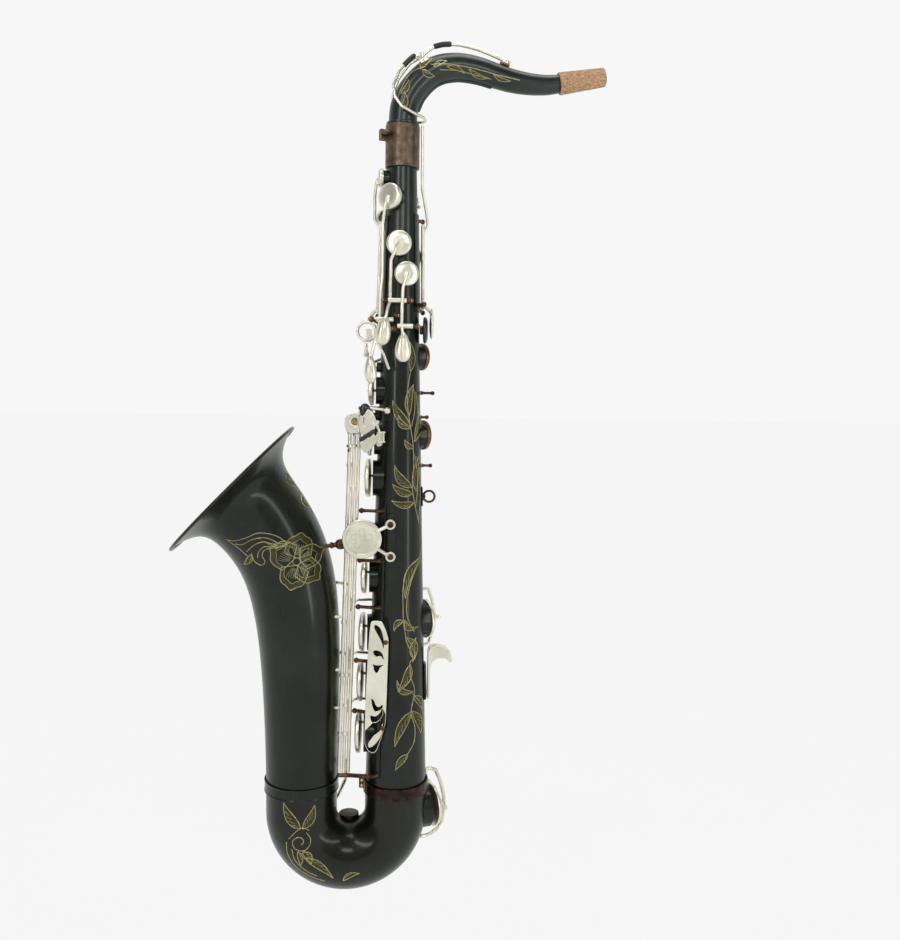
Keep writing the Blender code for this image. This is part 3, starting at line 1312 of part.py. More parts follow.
def sheet_guard(name, angle, z, half_height):
    """Bent sheet cage over a side tone hole, on two feet."""
    out = around(angle)
    reach = 17.0
    top = on_tube(angle, z + half_height + 5.0, FIT + 0.5)
    bottom = on_tube(angle, z - half_height - 5.0, FIT + 0.5)
    across = around(angle + 90)
    points = [top, top + out * reach * 0.75 + Vector((0, 0, 1)), (top + bottom) / 2 + out * (reach + 3.0),
              bottom + out * reach * 0.75 - Vector((0, 0, 1)), bottom]
    centre_bar = bent([points[0] + out * 1.6, *points[1:-1], points[-1] + out * 1.6], 1.7, 6, 2)
    feet = [block(top + out * 0.9, (8.0, 1.6, 7.0), Matrix.Rotation(math.radians(angle), 4, "Z")),
            block(bottom + out * 0.9, (8.0, 1.6, 7.0), Matrix.Rotation(math.radians(angle), 4, "Z"))]
    middle = (top + bottom) / 2 + out * (reach + 2.6)
    wings = rod([middle + across * 13 - out * 3.5, middle, middle - across * 13 - out * 3.5], 1.7)
    assemble(name, [centre_bar, *feet, wings], SILVER)


def low_c_guard():
    """Hooped guard over low C."""
    root, direction, bore, reach = low_c_seat()
    skin = TUBE_BOTTOM_R
    top = Vector((TUBE_X, 0, TUBE_BOTTOM_Z + RING_HEIGHT * 0.57 + 3.4)) + direction * (skin + FIT)
    span = [top, top + direction * 12 + Vector((0, 0, -2)), root + direction * (skin + 21.5) + Vector((0,
                                                                                                       0,
                                                                                                       6)),
            root + direction * (skin + 19.5) + Vector((0, 0, -19)),
            root + direction * (skin + 8) + Vector((0, 0, -29.5)),
            root + direction * (skin - 2.6) + Vector((0, 0, -30.5))]
    hooped = bent(span, 1.9, 6, 2)
    across = Vector((0, 0, 1)).cross(direction)
    middle = root + direction * (skin + 21.2)
    wings = rod([middle + across * 14 - direction * 3, middle, middle - across * 14 - direction * 3], 1.9)
    foot = block(top + direction * 1.0, (8.0, 1.8, 5.0), Matrix.Rotation(math.radians(LOW_C_ANGLE), 4, "Z"))
    assemble("low_c_guard", [hooped, wings, foot], SILVER)


def bell_guard():
    """Guard over the two cups on the bell's back."""
    b_root, out, _, b_reach = bell_seat(LOW_B_SHARE)
    bb_root, _, _, bb_reach = bell_seat(LOW_BB_SHARE)
    low = b_root + out * (b_reach - CHIMNEY_RISE - 0.4) + Vector((0, 0, -29))
    high = bb_root + out * (bb_reach - CHIMNEY_RISE - 0.4) + Vector((-4, 0, 30))
    low.y += 2.6
    high.y += 4.2
    points = [low, low + out * GUARD_LIFT * 0.9 + Vector((0, 0, 3)),
              b_root + out * (b_reach + GUARD_LIFT), (b_root + bb_root) / 2
              + out * ((b_reach + bb_reach) / 2 + GUARD_LIFT), bb_root + out * (bb_reach + GUARD_LIFT),
              high + out * GUARD_LIFT * 0.9 + Vector((0, 0, -3)), high]
    bar = bent(points, 2.0, 6, 2)
    wings = []
    for root, reach in ((b_root, b_reach), (bb_root, bb_reach)):
        middle = root + out * (reach + GUARD_LIFT)
        wings.append(rod([middle + Vector((15, -3, 0)), middle, middle + Vector((-15, -3, 0))], 1.9))
    assemble("bell_key_guard", [bar, *wings], SILVER)


body_tube()
bottom_bow()
bell_shell()
fixed_rings()
receiver()
neck()
neck_octave_key()
strap_ring()
thumb_parts()
octave_parts()
palm_keys()
front_f()
stack_keys()
ribbed_posts("upper_stack_posts", STACK_ANGLE, UPPER_POSTS, STACK_REACH, -8.0, 150.0)
ribbed_posts("lower_stack_posts", STACK_ANGLE, LOWER_POSTS, STACK_REACH, -252.0, -15.0)
side_keys()
eb_key()
low_c_key()
low_keys()
g_sharp_touch()
table_bracket()
rod_posts()
brace()
guards()
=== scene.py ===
"""Tenor saxophone: fine surfaces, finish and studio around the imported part.

Lengths are in millimetres, as in the part's own source, and MM turns them into metres.
+X points at the player, -X at the bell, -Y at the palm-key side and +Z up.
"""

import json
import math

import bmesh
import bpy
from mathutils import Matrix, Vector, noise


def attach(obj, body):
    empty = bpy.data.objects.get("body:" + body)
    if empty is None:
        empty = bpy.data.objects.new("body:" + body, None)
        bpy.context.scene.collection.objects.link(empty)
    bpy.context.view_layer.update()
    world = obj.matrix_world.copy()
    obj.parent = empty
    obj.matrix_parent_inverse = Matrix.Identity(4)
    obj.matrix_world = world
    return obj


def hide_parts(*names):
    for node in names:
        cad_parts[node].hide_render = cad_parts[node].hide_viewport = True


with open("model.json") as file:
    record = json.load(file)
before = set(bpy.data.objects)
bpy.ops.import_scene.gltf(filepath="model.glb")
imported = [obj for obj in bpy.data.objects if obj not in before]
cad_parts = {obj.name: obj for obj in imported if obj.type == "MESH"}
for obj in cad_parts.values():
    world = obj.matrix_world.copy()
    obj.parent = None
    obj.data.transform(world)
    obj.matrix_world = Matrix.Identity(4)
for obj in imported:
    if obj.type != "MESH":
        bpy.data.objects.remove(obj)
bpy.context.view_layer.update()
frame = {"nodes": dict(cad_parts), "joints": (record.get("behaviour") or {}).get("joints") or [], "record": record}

MM = 0.001

# Sizes that the fine surfaces share with the part
STRAP_STANDOFF = 7.0
TUBE_TOP_Z = 302.0
TUBE_TOP_R = 13.2
TUBE_BOTTOM_Z = -277.0
TUBE_BOTTOM_R = 28.9
WALL = 1.0
FIT = 0.3
BOW_SPAN = 88.9
BOW_CENTRE_Z = -300.2
BOW_BOTTOM_R = 31.9
BELL_BASE_R = 33.4
BELL_BASE_Z = -272.0
BELL_RIM_R = 77.6
BELL_RIM_Z = 6.8
BELL_LEAN = 64.0
BELL_TILT = 45.9
BELL_RISE = 187.8
BELL_THROAT = 84.9
BELL_SWELL = 13.3
FLARE_LENGTH = 7.3
RIM_BEAD_R = 1.5
RING_HEIGHT = 11.2
RING_WALL = 1.4
RECEIVER_BOTTOM_Z = 299.0
RECEIVER_TOP_Z = 336.5
RECEIVER_WALL = 1.9
NECK_START_R = 12.9
NECK_END_R = 8.2
CORK_START_R = 9.9
CORK_END_R = 8.3
CORK_BORE_R = 6.6
NECK_STICKOUT = 0.6
CHIMNEY_RISE = 3.4
CUP_HEIGHT = 4.6
CUP_OVERHANG = 2.1
PEARL_R = 6.6
STACK_OPEN = 5.0
LOW_C_OPEN = 6.0
LOW_BELL_OPEN = 5.0

# name: (angle around the body tube, height, bore radius)
HOLES = {
    "palm_f": (-36.0, 271.2, 9.4),
    "palm_eb": (-8.0, 229.6, 9.0),
    "palm_d": (12.0, 202.7, 8.6),
    "front_f": (-90.0, 290.0, 6.2),
    "high_fs": (-122.0, 254.0, 7.4),
    "side_e": (145.0, 222.0, 7.4),
    "side_c": (117.0, 130.0, 10.2),
    "side_bb": (115.0, 57.0, 11.6),
    "c_vent": (-90.0, 119.5, 3.6),
    "b": (-90.0, 98.0, 11.6),
    "bis": (-90.0, 76.0, 4.8),
    "a": (-90.0, 52.0, 12.2),
    "g": (-90.0, 17.0, 15.6),
    "g_sharp": (-90.0, -40.0, 13.6),
    "f_sharp": (-90.0, -76.0, 13.8),
    "f": (-90.0, -129.0, 16.0),
    "e": (-90.0, -176.0, 17.0),
    "d": (-90.0, -225.0, 18.0),
    "eb": (115.0, -119.0, 16.2),
}
LOW_C_SEAT = (108.0, -303.5, 18.5)
LOW_CS_SEAT = (134.6, 17.5)
ROD_TOP_Z = 80.0
ROD_TOP_DX = -42.6
ROD_BOTTOM_DX = -51.5
ROD_Y = -14.0
ROD_PITCH = 4.2
ROD_R = 1.7
ROD_POST_R = 1.4
ROD_BOTTOM_Z = -262.0
ROD_POSTS = (-12.0, -58.0, -101.5, -152.0, -200.0)
TABLE_Y = -23.4
BELL_HOLE_BORE = 19.5
LOW_B_SHARE = 0.24
LOW_BB_SHARE = 0.47

ROUND = 96


def straight(low, high, share):
    """Value a share of the way from low to high."""
    return low + (high - low) * share


def tube_radius(z):
    """Outer radius of the conical body tube at height z."""
    return straight(TUBE_BOTTOM_R, TUBE_TOP_R, (z - TUBE_BOTTOM_Z) / (TUBE_TOP_Z - TUBE_BOTTOM_Z))


TUBE_X = -(tube_radius(0.0) + STRAP_STANDOFF)
BELL_X = TUBE_X - BOW_SPAN


def beside(dx, y, z):
    """Point at a sideways distance from the body tube's axis."""
    return Vector((TUBE_X + dx, y, z))


def front(dx, z, reach):
    """Point on the palm-key side, a distance outside the tube's widest line."""
    return Vector((TUBE_X + dx, -tube_radius(z) - reach, z))


def around(angle):
    """Unit vector away from the body tube's axis."""
    turn = math.radians(angle)
    return Vector((math.sin(turn), -math.cos(turn), 0.0))


def on_tube(angle, z, reach=0.0):
    """Point at a distance outside the body tube's skin."""
    return Vector((TUBE_X, 0.0, z)) + around(angle) * (tube_radius(z) + reach)


def smooth(points, steps=4):
    """Catmull-Rom curve through the given points."""
    ends = [points[0] * 2 - points[1]] + list(points) + [points[-1] * 2 - points[-2]]
    path = []
    for i in range(1, len(ends) - 2):
        a, b, c, d = ends[i - 1:i + 3]
        for k in range(steps):
            t = k / steps
            bend = (a * 2 - b * 5 + c * 4 - d) * t * t + (b * 3 - a - c * 3 + d) * t ** 3
            path.append((b * 2 + (c - a) * t + bend) / 2)
    return path + [points[-1]]


# Materials

class Nodes:
    """Short way of writing a material's node tree."""

    def __init__(self, name, metallic, roughness):
        self.material = bpy.data.materials.new(name)
        self.material.use_nodes = True
        self.tree = self.material.node_tree
        self.shader = self.tree.nodes["Principled BSDF"]
        self.shader.inputs["Metallic"].default_value = metallic
        self.shader.inputs["Roughness"].default_value = roughness
        self.place = self.tree.nodes.new("ShaderNodeTexCoord").outputs["Object"]

    def link(self, out, into):
        self.tree.links.new(out, into)

    def noise(self, scale, detail=4.0, stretch=(1.0, 1.0, 1.0), rough=0.5):
        """Noise of a scale in features per metre, stretched by the given factors."""
        mapping = self.tree.nodes.new("ShaderNodeMapping")
        mapping.inputs["Scale"].default_value = stretch
        self.link(self.place, mapping.inputs["Vector"])
        made = self.tree.nodes.new("ShaderNodeTexNoise")
        made.inputs["Scale"].default_value = scale
        made.inputs["Detail"].default_value = detail
        made.inputs["Roughness"].default_value = rough
        self.link(mapping.outputs["Vector"], made.inputs["Vector"])
        return made.outputs["Fac"]

    def ramp(self, value, low, high, dark, light):
        """Colour that goes from dark to light while the value goes from low to high."""
        made = self.tree.nodes.new("ShaderNodeValToRGB")
        made.color_ramp.elements[0].position = low
        made.color_ramp.elements[0].color = (*dark, 1.0)
        made.color_ramp.elements[1].position = high
        made.color_ramp.elements[1].color = (*light, 1.0)
        self.link(value, made.inputs["Fac"])
        return made.outputs["Color"]

    def blend(self, share, low, high, mode="MIX"):
        """Colours mixed by a share, which may be a number or a socket."""
        made = self.tree.nodes.new("ShaderNodeMix")
        made.data_type = "RGBA"
        made.blend_type = mode
        for value, socket in ((share, made.inputs[0]), (low, made.inputs[6]), (high, made.inputs[7])):
            if isinstance(value, (float, int)):
                socket.default_value = value
            elif isinstance(value, tuple):
                socket.default_value = (*value, 1.0)
            else:
                self.link(value, socket)
        return made.outputs[2]

    def span(self, value, low, high, to_low, to_high):
        """Number mapped from one range to another."""
        made = self.tree.nodes.new("ShaderNodeMapRange")
        for key, number in (("From Min", low), ("From Max", high), ("To Min", to_low),
                ("To Max", to_high)):
            made.inputs[key].default_value = number
        self.link(value, made.inputs["Value"])
        return made.outputs["Result"]

    def bump(self, height, strength, depth):
        """Bump of a depth in millimetres."""
        made = self.tree.nodes.new("ShaderNodeBump")
        made.inputs["Strength"].default_value = strength
        made.inputs["Distance"].default_value = depth * MM
        self.link(height, made.inputs["Height"])
        self.link(made.outputs["Normal"], self.shader.inputs["Normal"])

    def colour(self, value):
        self.link(value, self.shader.inputs["Base Color"])

    def roughness(self, value):
        self.link(value, self.shader.inputs["Roughness"])


def black_body(name, low_tint, high_tint):
    """Antiqued black over brass, paler towards the top, with smoky patches, rubs and worn specks."""
    m = Nodes(name, 0.72, 0.36)
    apart = m.tree.nodes.new("ShaderNodeSeparateXYZ")
    m.link(m.place, apart.inputs["Vector"])
    height = m.span(apart.outputs["Z"], 0.08, 0.30, 0.0, 1.0)
    patches = m.noise(24.0, 5.0)
    streaks = m.noise(60.0, 6.0, (14.0, 14.0, 0.7))
    lower = m.ramp(patches, 0.32, 0.74, tuple(c * 0.62 for c in low_tint),
            tuple(c * 1.55 for c in low_tint))
    upper = m.ramp(patches, 0.32, 0.74, tuple(c * 0.72 for c in high_tint),
            tuple(c * 1.35 for c in high_tint))
    rubbed = m.ramp(streaks, 0.60, 0.84, (0.0, 0.0, 0.0), (0.030, 0.028, 0.018))
    worn = m.ramp(m.noise(900.0, 3.0), 0.72, 0.80, (0.0, 0.0, 0.0), (0.04, 0.030, 0.014))
    m.colour(m.blend(1.0, m.blend(0.6, m.blend(height, lower, upper), rubbed, "ADD"), worn, "ADD"))
    m.roughness(m.span(streaks, 0.3, 0.75, 0.30, 0.48))
    m.bump(m.noise(420.0, 6.0, (6.0, 6.0, 0.6)), 0.16, 0.04)
    m.shader.inputs["Coat Weight"].default_value = 0.32
    m.shader.inputs["Coat Roughness"].default_value = 0.13
    m.shader.inputs["Specular Tint"].default_value = (0.93, 1.0, 0.94, 1.0)
    return m.material


def silver_keys():
    """Satin silver plate with a warm cast, duller patches and fine polishing lines."""
    m = Nodes("satin_silver", 0.9, 0.32)
    tarnish = m.noise(55.0, 5.0)
    colour = m.ramp(tarnish, 0.30, 0.66, (0.67, 0.65, 0.52), (0.84, 0.82, 0.68))
    specks = m.ramp(m.noise(700.0, 2.0), 0.66, 0.80, (0.0, 0.0, 0.0), (0.10, 0.08, 0.05))
    m.colour(m.blend(0.4, colour, specks, "SUBTRACT"))
    m.roughness(m.span(m.noise(320.0, 5.0, (1.0, 1.0, 4.0)), 0.25, 0.75, 0.27, 0.38))
    m.bump(m.noise(300.0, 3.0, (1.0, 1.0, 3.0)), 0.05, 0.01)
    return m.material


def bronze(name, dark, light, rough=0.36):
    """Dark bronze with lighter rubbed places."""
    m = Nodes(name, 0.95, rough)
    m.colour(m.ramp(m.noise(140.0, 5.0), 0.36, 0.68, dark, light))
    m.roughness(m.span(m.noise(400.0, 4.0), 0.3, 0.7, rough - 0.08, rough + 0.12))
    m.bump(m.noise(800.0, 3.0), 0.2, 0.03)
    return m.material


def plain_metal(name, colour, rough):
    """Small bare metal part with a little variation in its polish."""
    m = Nodes(name, 1.0, rough)
    dark = tuple(c * 0.72 for c in colour)
    m.colour(m.ramp(m.noise(260.0, 4.0), 0.32, 0.62, dark, colour))
    m.roughness(m.span(m.noise(600.0, 3.0), 0.3, 0.7, rough * 0.75, rough * 1.35))
    return m.material


def cork_material():
    """Cork with dark pores and pale grain."""
    m = Nodes("cork", 0.0, 0.86)
    cells = m.tree.nodes.new("ShaderNodeTexVoronoi")
    cells.inputs["Scale"].default_value = 620.0
    m.link(m.place, cells.inputs["Vector"])
    grain = m.ramp(m.noise(420.0, 6.0, (1.0, 1.0, 2.2)), 0.34, 0.66, (0.30, 0.165, 0.085),
            (0.56, 0.36, 0.205))
    shade = m.ramp(cells.outputs["Distance"], 0.0, 0.55, (0.72, 0.66, 0.60), (1.0, 1.0, 1.0))
    pores = m.ramp(m.noise(330.0, 2.0), 0.27, 0.34, (0.13, 0.06, 0.03), (1.0, 1.0, 1.0))
    m.colour(m.blend(1.0, m.blend(1.0, grain, shade, "MULTIPLY"), pores, "MULTIPLY"))
    m.bump(m.noise(520.0, 6.0), 0.7, 0.16)
    return m.material


def leather_pad():
    """Waxed brown leather of the key pads."""
    m = Nodes("pad_leather", 0.0, 0.55)
    m.colour(m.ramp(m.noise(240.0, 5.0), 0.35, 0.68, (0.17, 0.062, 0.030), (0.34, 0.15, 0.075)))
    m.bump(m.noise(1500.0, 4.0), 0.35, 0.06)
    return m.material


def pearl_material():
    """Mother of pearl: pale, with cool and warm clouds."""
    m = Nodes("mother_of_pearl", 0.0, 0.16)
    clouds = m.noise(120.0, 4.0, (1.0, 1.0, 2.6), 0.6)
    warm = m.ramp(clouds, 0.30, 0.52, (0.62, 0.60, 0.66), (0.84, 0.80, 0.70))
    cool = m.ramp(m.noise(90.0, 3.0), 0.44, 0.66, (0.70, 0.74, 0.66), (0.92, 0.90, 0.86))
    m.colour(m.blend(0.5, warm, cool))
    m.shader.inputs["Coat Weight"].default_value = 0.7
    m.shader.inputs["Coat Roughness"].default_value = 0.06
    return m.material


def dull(name, low, high, rough, scale, depth):
    """Dull non-metal, such as felt, rubber or moulded plastic."""
    m = Nodes(name, 0.0, rough)
    m.colour(m.ramp(m.noise(scale, 4.0), 0.35, 0.65, low, high))
    m.bump(m.noise(scale * 3, 3.0), 0.4, depth)
    return m.material


BLACK = black_body("antique_black", (0.0100, 0.0118, 0.0086), (0.025, 0.028, 0.025))
BLACK_UPPER = black_body("antique_black_upper", (0.0086, 0.0116, 0.0082), (0.026, 0.033, 0.030))
BLACK_BOW = black_body("antique_black_bow", (0.0098, 0.0108, 0.0070), (0.022, 0.028, 0.025))
SILVER = silver_keys()
BRONZE = bronze("post_bronze", (0.045, 0.025, 0.016), (0.16, 0.088, 0.050))
RECEIVER = bronze("receiver_bronze", (0.095, 0.066, 0.042), (0.20, 0.145, 0.098), 0.42)
RING_BRONZE = bronze("ring_bronze", (0.020, 0.014, 0.011), (0.062, 0.036, 0.026), 0.34)
CUP_BRONZE = bronze("cup_bronze", (0.10, 0.045, 0.020), (0.30, 0.15, 0.065), 0.34)
BRASS = plain_metal("screw_brass", (0.55, 0.37, 0.155), 0.28)
STEEL = plain_metal("screw_steel", (0.50, 0.47, 0.42), 0.26)
ENGRAVED = plain_metal("engraved_line", (0.44, 0.41, 0.20), 0.45)
ENGRAVED_FIELD = plain_metal("engraved_field", (0.078, 0.076, 0.036), 0.5)
CORK = cork_material()
LEATHER = leather_pad()
PEARL = pearl_material()
# Dark rubber of the octave key's bumpers; the same material is painted shade in the screw slots.
RUBBER_AND_SLOT_SHADE = dull("rubber_and_slot_shade", (0.012, 0.011, 0.010), (0.030, 0.027, 0.024), 0.62, 300.0, 0.04)
DARK = dull("thumb_plastic", (0.010, 0.009, 0.009), (0.020, 0.018, 0.017), 0.22, 60.0, 0.01)


# Mesh helpers

def rings_mesh(name, rings, closed_ends=(True, True), closed_loop=False, soft=40.0):
    """Mesh through rings of points, each with the same count."""
    bm = bmesh.new()
    made = [[bm.verts.new(p * MM) for p in ring] for ring in rings]
    count = len(rings[0])
    pairs = list(zip(made, made[1:]))
    if closed_loop:
        pairs.append((made[-1], made[0]))
    for low, high in pairs:
        for i in range(count):
            k = (i + 1) % count
            bm.faces.new((low[i], low[k], high[k], high[i]))
    if not closed_loop:
        if closed_ends[0]:
            bm.faces.new(reversed(made[0]))
        if closed_ends[1]:
            bm.faces.new(made[-1])
    bmesh.ops.recalc_face_normals(bm, faces=bm.faces)
    return from_bmesh(name, bm, soft)


def from_bmesh(name, bm, soft=40.0):
    """Smooth-shaded object with sharp edges above an angle."""
    for face in bm.faces:
        face.smooth = True
    limit = math.radians(soft)
    for edge in bm.edges:
        if len(edge.link_faces) == 2 and edge.calc_face_angle(0.0) > limit:
            edge.smooth = False
    mesh = bpy.data.meshes.new(name)
    bm.to_mesh(mesh)
    bm.free()
    made = bpy.data.objects.new(name, mesh)
    bpy.context.scene.collection.objects.link(made)
    return made


def cross_frames(points):
    """Tangent and two side vectors at each point of a path, without twist."""
    tangents = []
    for i in range(len(points)):
        low, high = points[max(i - 1, 0)], points[min(i + 1, len(points) - 1)]
        tangents.append((high - low).normalized())
    side = Vector((0, 1, 0)) if abs(tangents[0].y) < 0.9 else Vector((1, 0, 0))
    frames = []
    for tangent in tangents:
        side = (side - tangent * side.dot(tangent)).normalized()
        frames.append((tangent, side, tangent.cross(side)))
    return frames


def circles(points, radii, sides):
    """Rings of points around a path."""
    rings = []
    for point, radius, (_, side, other) in zip(points, radii, cross_frames(points)):
        ring = []
        for i in range(sides):
            turn = 2 * math.pi * i / sides
            ring.append(point + (side * math.cos(turn) + other * math.sin(turn)) * radius)
        rings.append(ring)
    return rings


def wire(name, points, radius, sides=16, steps=6, end_radius=None, domed=True):
    """Round bar bent smoothly through points, with rounded ends."""
    path = smooth([Vector(p) for p in points], steps) if steps else [Vector(p) for p in points]
    last = radius if end_radius is None else end_radius
    radii = [straight(radius, last, i / (len(path) - 1)) for i in range(len(path))]
    if domed:
        first = (path[0] - path[1]).normalized()
        final = (path[-1] - path[-2]).normalized()
        front = [path[0] + first * radius * math.sin(a) for a in (1.45, 1.1, 0.6)]
        back = [path[-1] + final * last * math.sin(a) for a in (0.6, 1.1, 1.45)]
        path = front + path + back
        radii = [radius * math.cos(a) for a in (1.45, 1.1,
                0.6)] + radii + [last * math.cos(a) for a in (0.6, 1.1, 1.45)]
    return rings_mesh(name, circles(path, radii, sides))


def lathe(name, profile, origin, direction, sides=ROUND, soft=40.0):
    """Solid of revolution from (radius, height) points; ends at radius 0 are closed."""
    direction = Vector(direction).normalized()
    side = direction.orthogonal().normalized()
    other = direction.cross(side)
    bm = bmesh.new()
    rings = []
    for radius, height in profile:
        centre = Vector(origin) + direction * height
        if radius < 1e-6:
            rings.append([bm.verts.new(centre * MM)])
            continue
        ring = []
        for i in range(sides):
            turn = 2 * math.pi * i / sides
            spoke = side * math.cos(turn) + other * math.sin(turn)
            ring.append(bm.verts.new((centre + spoke * radius) * MM))
        rings.append(ring)
    for low, high in zip(rings, rings[1:]):
        for i in range(sides):
            k = (i + 1) % sides
            corners = [low[i % len(low)], low[k % len(low)], high[k % len(high)], high[i % len(high)]]
            unique = list(dict.fromkeys(corners))
            if len(unique) > 2:
                bm.faces.new(unique)
    bmesh.ops.recalc_face_normals(bm, faces=bm.faces)
    return from_bmesh(name, bm, soft)


def rounded(profile, bevel, steps=3):
    """Profile with its inner corners rounded by short arcs."""
    made = [profile[0]]
    for a, b, c in zip(profile, profile[1:], profile[2:]):
        va, vb, vc = Vector(a), Vector(b), Vector(c)
        back, ahead = (va - vb), (vc - vb)
        size = min(bevel, back.length * 0.45, ahead.length * 0.45)
        if size < 1e-4:
            made.append(b)
            continue
        start, end = vb + back.normalized() * size, vb + ahead.normalized() * size
        for k in range(steps + 1):
            t = k / steps
            p = start * (1 - t) ** 2 + vb * 2 * t * (1 - t) + end * t * t
            made.append((p.x, p.y))
    made.append(profile[-1])
    return made


def finish_piece(piece, body, material, *nodes, slot=None):
    """Gives a piece its material and body, and hides the CAD nodes it stands for."""
    piece.data.materials.clear()
    piece.data.materials.append(material)
    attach(piece, body)
    if nodes:
        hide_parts(*nodes)
    return piece


def join(name, pieces):
    """One object from several that share a material."""
    bm = bmesh.new()
    for piece in pieces:
        held = piece.data
        held.transform(piece.matrix_world)
        bm.from_mesh(held)
        bpy.data.objects.remove(piece, do_unlink=True)
        bpy.data.meshes.remove(held)
    mesh = bpy.data.meshes.new(name)
    bm.to_mesh(mesh)
    bm.free()
    made = bpy.data.objects.new(name, mesh)
    bpy.context.scene.collection.objects.link(made)
    return made


def cut(target, cutters):
    """Cuts the cutters out of the target and applies the result."""
    for cutter in cutters:
        step = target.modifiers.new("cut", "BOOLEAN")
        step.operation = "DIFFERENCE"
        step.solver = "EXACT"
        step.object = cutter
    depsgraph = bpy.context.evaluated_depsgraph_get()
    mesh = bpy.data.meshes.new_from_object(target.evaluated_get(depsgraph))
    target.modifiers.clear()
    target.data = mesh
    for cutter in cutters:
        bpy.data.objects.remove(cutter, do_unlink=True)
    mesh.shade_smooth()
    mesh.set_sharp_from_angle(angle=math.radians(40))
    return target


# Tone holes

def body_seat(name):
    """Axis point, direction, bore and chimney-top distance of a tone hole on the body tube."""
    angle, z, bore = HOLES[name]
    return Vector((TUBE_X, 0.0, z)), around(angle), bore, tube_radius(z) + CHIMNEY_RISE


def low_c_seat():
    angle, z, bore = LOW_C_SEAT
    return Vector((TUBE_X, 0, z)), around(angle), bore, TUBE_BOTTOM_R + CHIMNEY_RISE


def low_cs_seat():
    turn, bore = LOW_CS_SEAT
    reach, angle = BOW_SPAN / 2, math.radians(turn)
    root = Vector(((TUBE_X + BELL_X) / 2 + reach * math.cos(angle), 0,
            BOW_CENTRE_Z - reach * math.sin(angle)))
    return root, Vector((0, 1, 0)), bore, straight(BOW_BOTTOM_R, BELL_BASE_R,
            turn / 90 - 1) + CHIMNEY_RISE


def bell_path(shares):
    """Points of the bell's centreline: a cubic from the base to the middle of the rim."""
    tilt = math.radians(BELL_TILT)
    out = Vector((-math.sin(tilt), 0.0, math.cos(tilt)))
    base = Vector((BELL_X, 0.0, BELL_BASE_Z))
    rim = Vector((BELL_X - BELL_LEAN, 0.0, BELL_RIM_Z))
    lift = base + Vector((0.0, 0.0, BELL_RISE))
    lean = rim - out * BELL_THROAT
    points = []
    for t in shares:
        s = 1 - t
        points.append(base * s ** 3 + lift * 3 * s * s * t + lean * 3 * s * t * t + rim * t ** 3)
    return points


def bell_radii(points):
    """Outer radius at each point, from its distance to the rim along the centreline."""
    left = [0.0]
    for near, far in zip(reversed(points[1:]), reversed(points[:-1])):
        left.insert(0, left[0] + (near - far).length)
    swell_at_rim = BELL_BASE_R + BELL_SWELL
    radii = []
    for distance in left:
        grown = BELL_BASE_R + BELL_SWELL * (1 - distance / left[0]) ** 1.5
        radii.append(grown + (BELL_RIM_R - swell_at_rim) * math.exp(-distance / FLARE_LENGTH))
    return radii


BELL_STEPS = 160
BELL_SHARES = [1 - (1 - i / BELL_STEPS) ** 1.6 for i in range(BELL_STEPS + 1)]
BELL_POINTS = bell_path(BELL_SHARES)
BELL_RADII = bell_radii(BELL_POINTS)


def bell_seat(share):
    """Seat of a tone hole on the bell's back."""
    point = bell_path([share])[0]
    nearest = min(range(len(BELL_POINTS)), key=lambda i: (BELL_POINTS[i] - point).length)
    return point, Vector((0, 1, 0)), BELL_HOLE_BORE, BELL_RADII[nearest] + CHIMNEY_RISE


def chimney(name, seat, skin):
    """Drawn tone hole: a ring with a fine rolled edge, and the cutter of its bore."""
    root, direction, bore, reach = seat
    wall = bore + WALL
    profile = [(bore, skin - 7), (bore, reach - 0.35), (bore + 0.3, reach), (wall - 0.2, reach),
               (wall + 0.12, reach - 0.35), (wall, reach - 0.9), (wall, skin - 7), (bore, skin - 7)]
    ring = lathe(name, profile, root, direction)
    bore_tool = lathe("cutter", [(0, reach + 3), (bore, reach + 3), (bore, 4), (0, 4)], root,
            direction, 48)
    return ring, bore_tool


def tube_wall(name, points, radii, wall=WALL):
    """Open-ended tube with a wall, as one closed surface."""
    outer = circles(points, radii, ROUND)
    inner = circles(points, [r - wall for r in radii], ROUND)
    return rings_mesh(name, outer + inner[::-1], closed_loop=True)


def body_tube():
    """Conical body with its tone holes cut through, chimneys and octave pip."""
    heights = [straight(TUBE_BOTTOM_Z, TUBE_TOP_Z, i / 60) for i in range(61)]
    points = [Vector((TUBE_X, 0, z)) for z in heights]
    tube = tube_wall("body_tube_fine", points, [tube_radius(z) for z in heights])
    rings, tools = [], []
    for name, (_, z, _) in HOLES.items():
        ring, tool = chimney(name + "_chimney", body_seat(name), tube_radius(z))
        rings.append(ring)
        tools.append(tool)
    cut(tube, tools)
    finish_piece(tube, "body", BLACK, "body_tube", slot="body_black")
    finish_piece(join("body_chimneys", rings), "body", BLACK, slot="body_black")
    angle, z = 140.0, 283.0
    pip = lathe("octave_pip", [(1.4, -2), (1.4, 3), (2.2, 3), (2.4, 2.6), (2.4, 0.8), (3.0, 0),
            (3.0, -2)],
                on_tube(angle, z), around(angle), 32)
    finish_piece(pip, "body", BLACK_UPPER, slot="body_black")


def bow_path(steps=72):
    """Points of the bow's U, from the body tube's end to the bell's base."""
    radius = BOW_SPAN / 2
    middle = (TUBE_X + BELL_X) / 2
    points = [Vector((TUBE_X, 0.0, TUBE_BOTTOM_Z - FIT)),
            Vector((TUBE_X, 0.0, (TUBE_BOTTOM_Z + BOW_CENTRE_Z) / 2))]
    for i in range(steps + 1):
        turn = math.pi * i / steps
        points.append(Vector((middle + radius * math.cos(turn), 0.0,
                BOW_CENTRE_Z - radius * math.sin(turn))))
    points += [Vector((BELL_X, 0.0, (BELL_BASE_Z + BOW_CENTRE_Z) / 2)),
            Vector((BELL_X, 0.0, BELL_BASE_Z - FIT))]
    return points


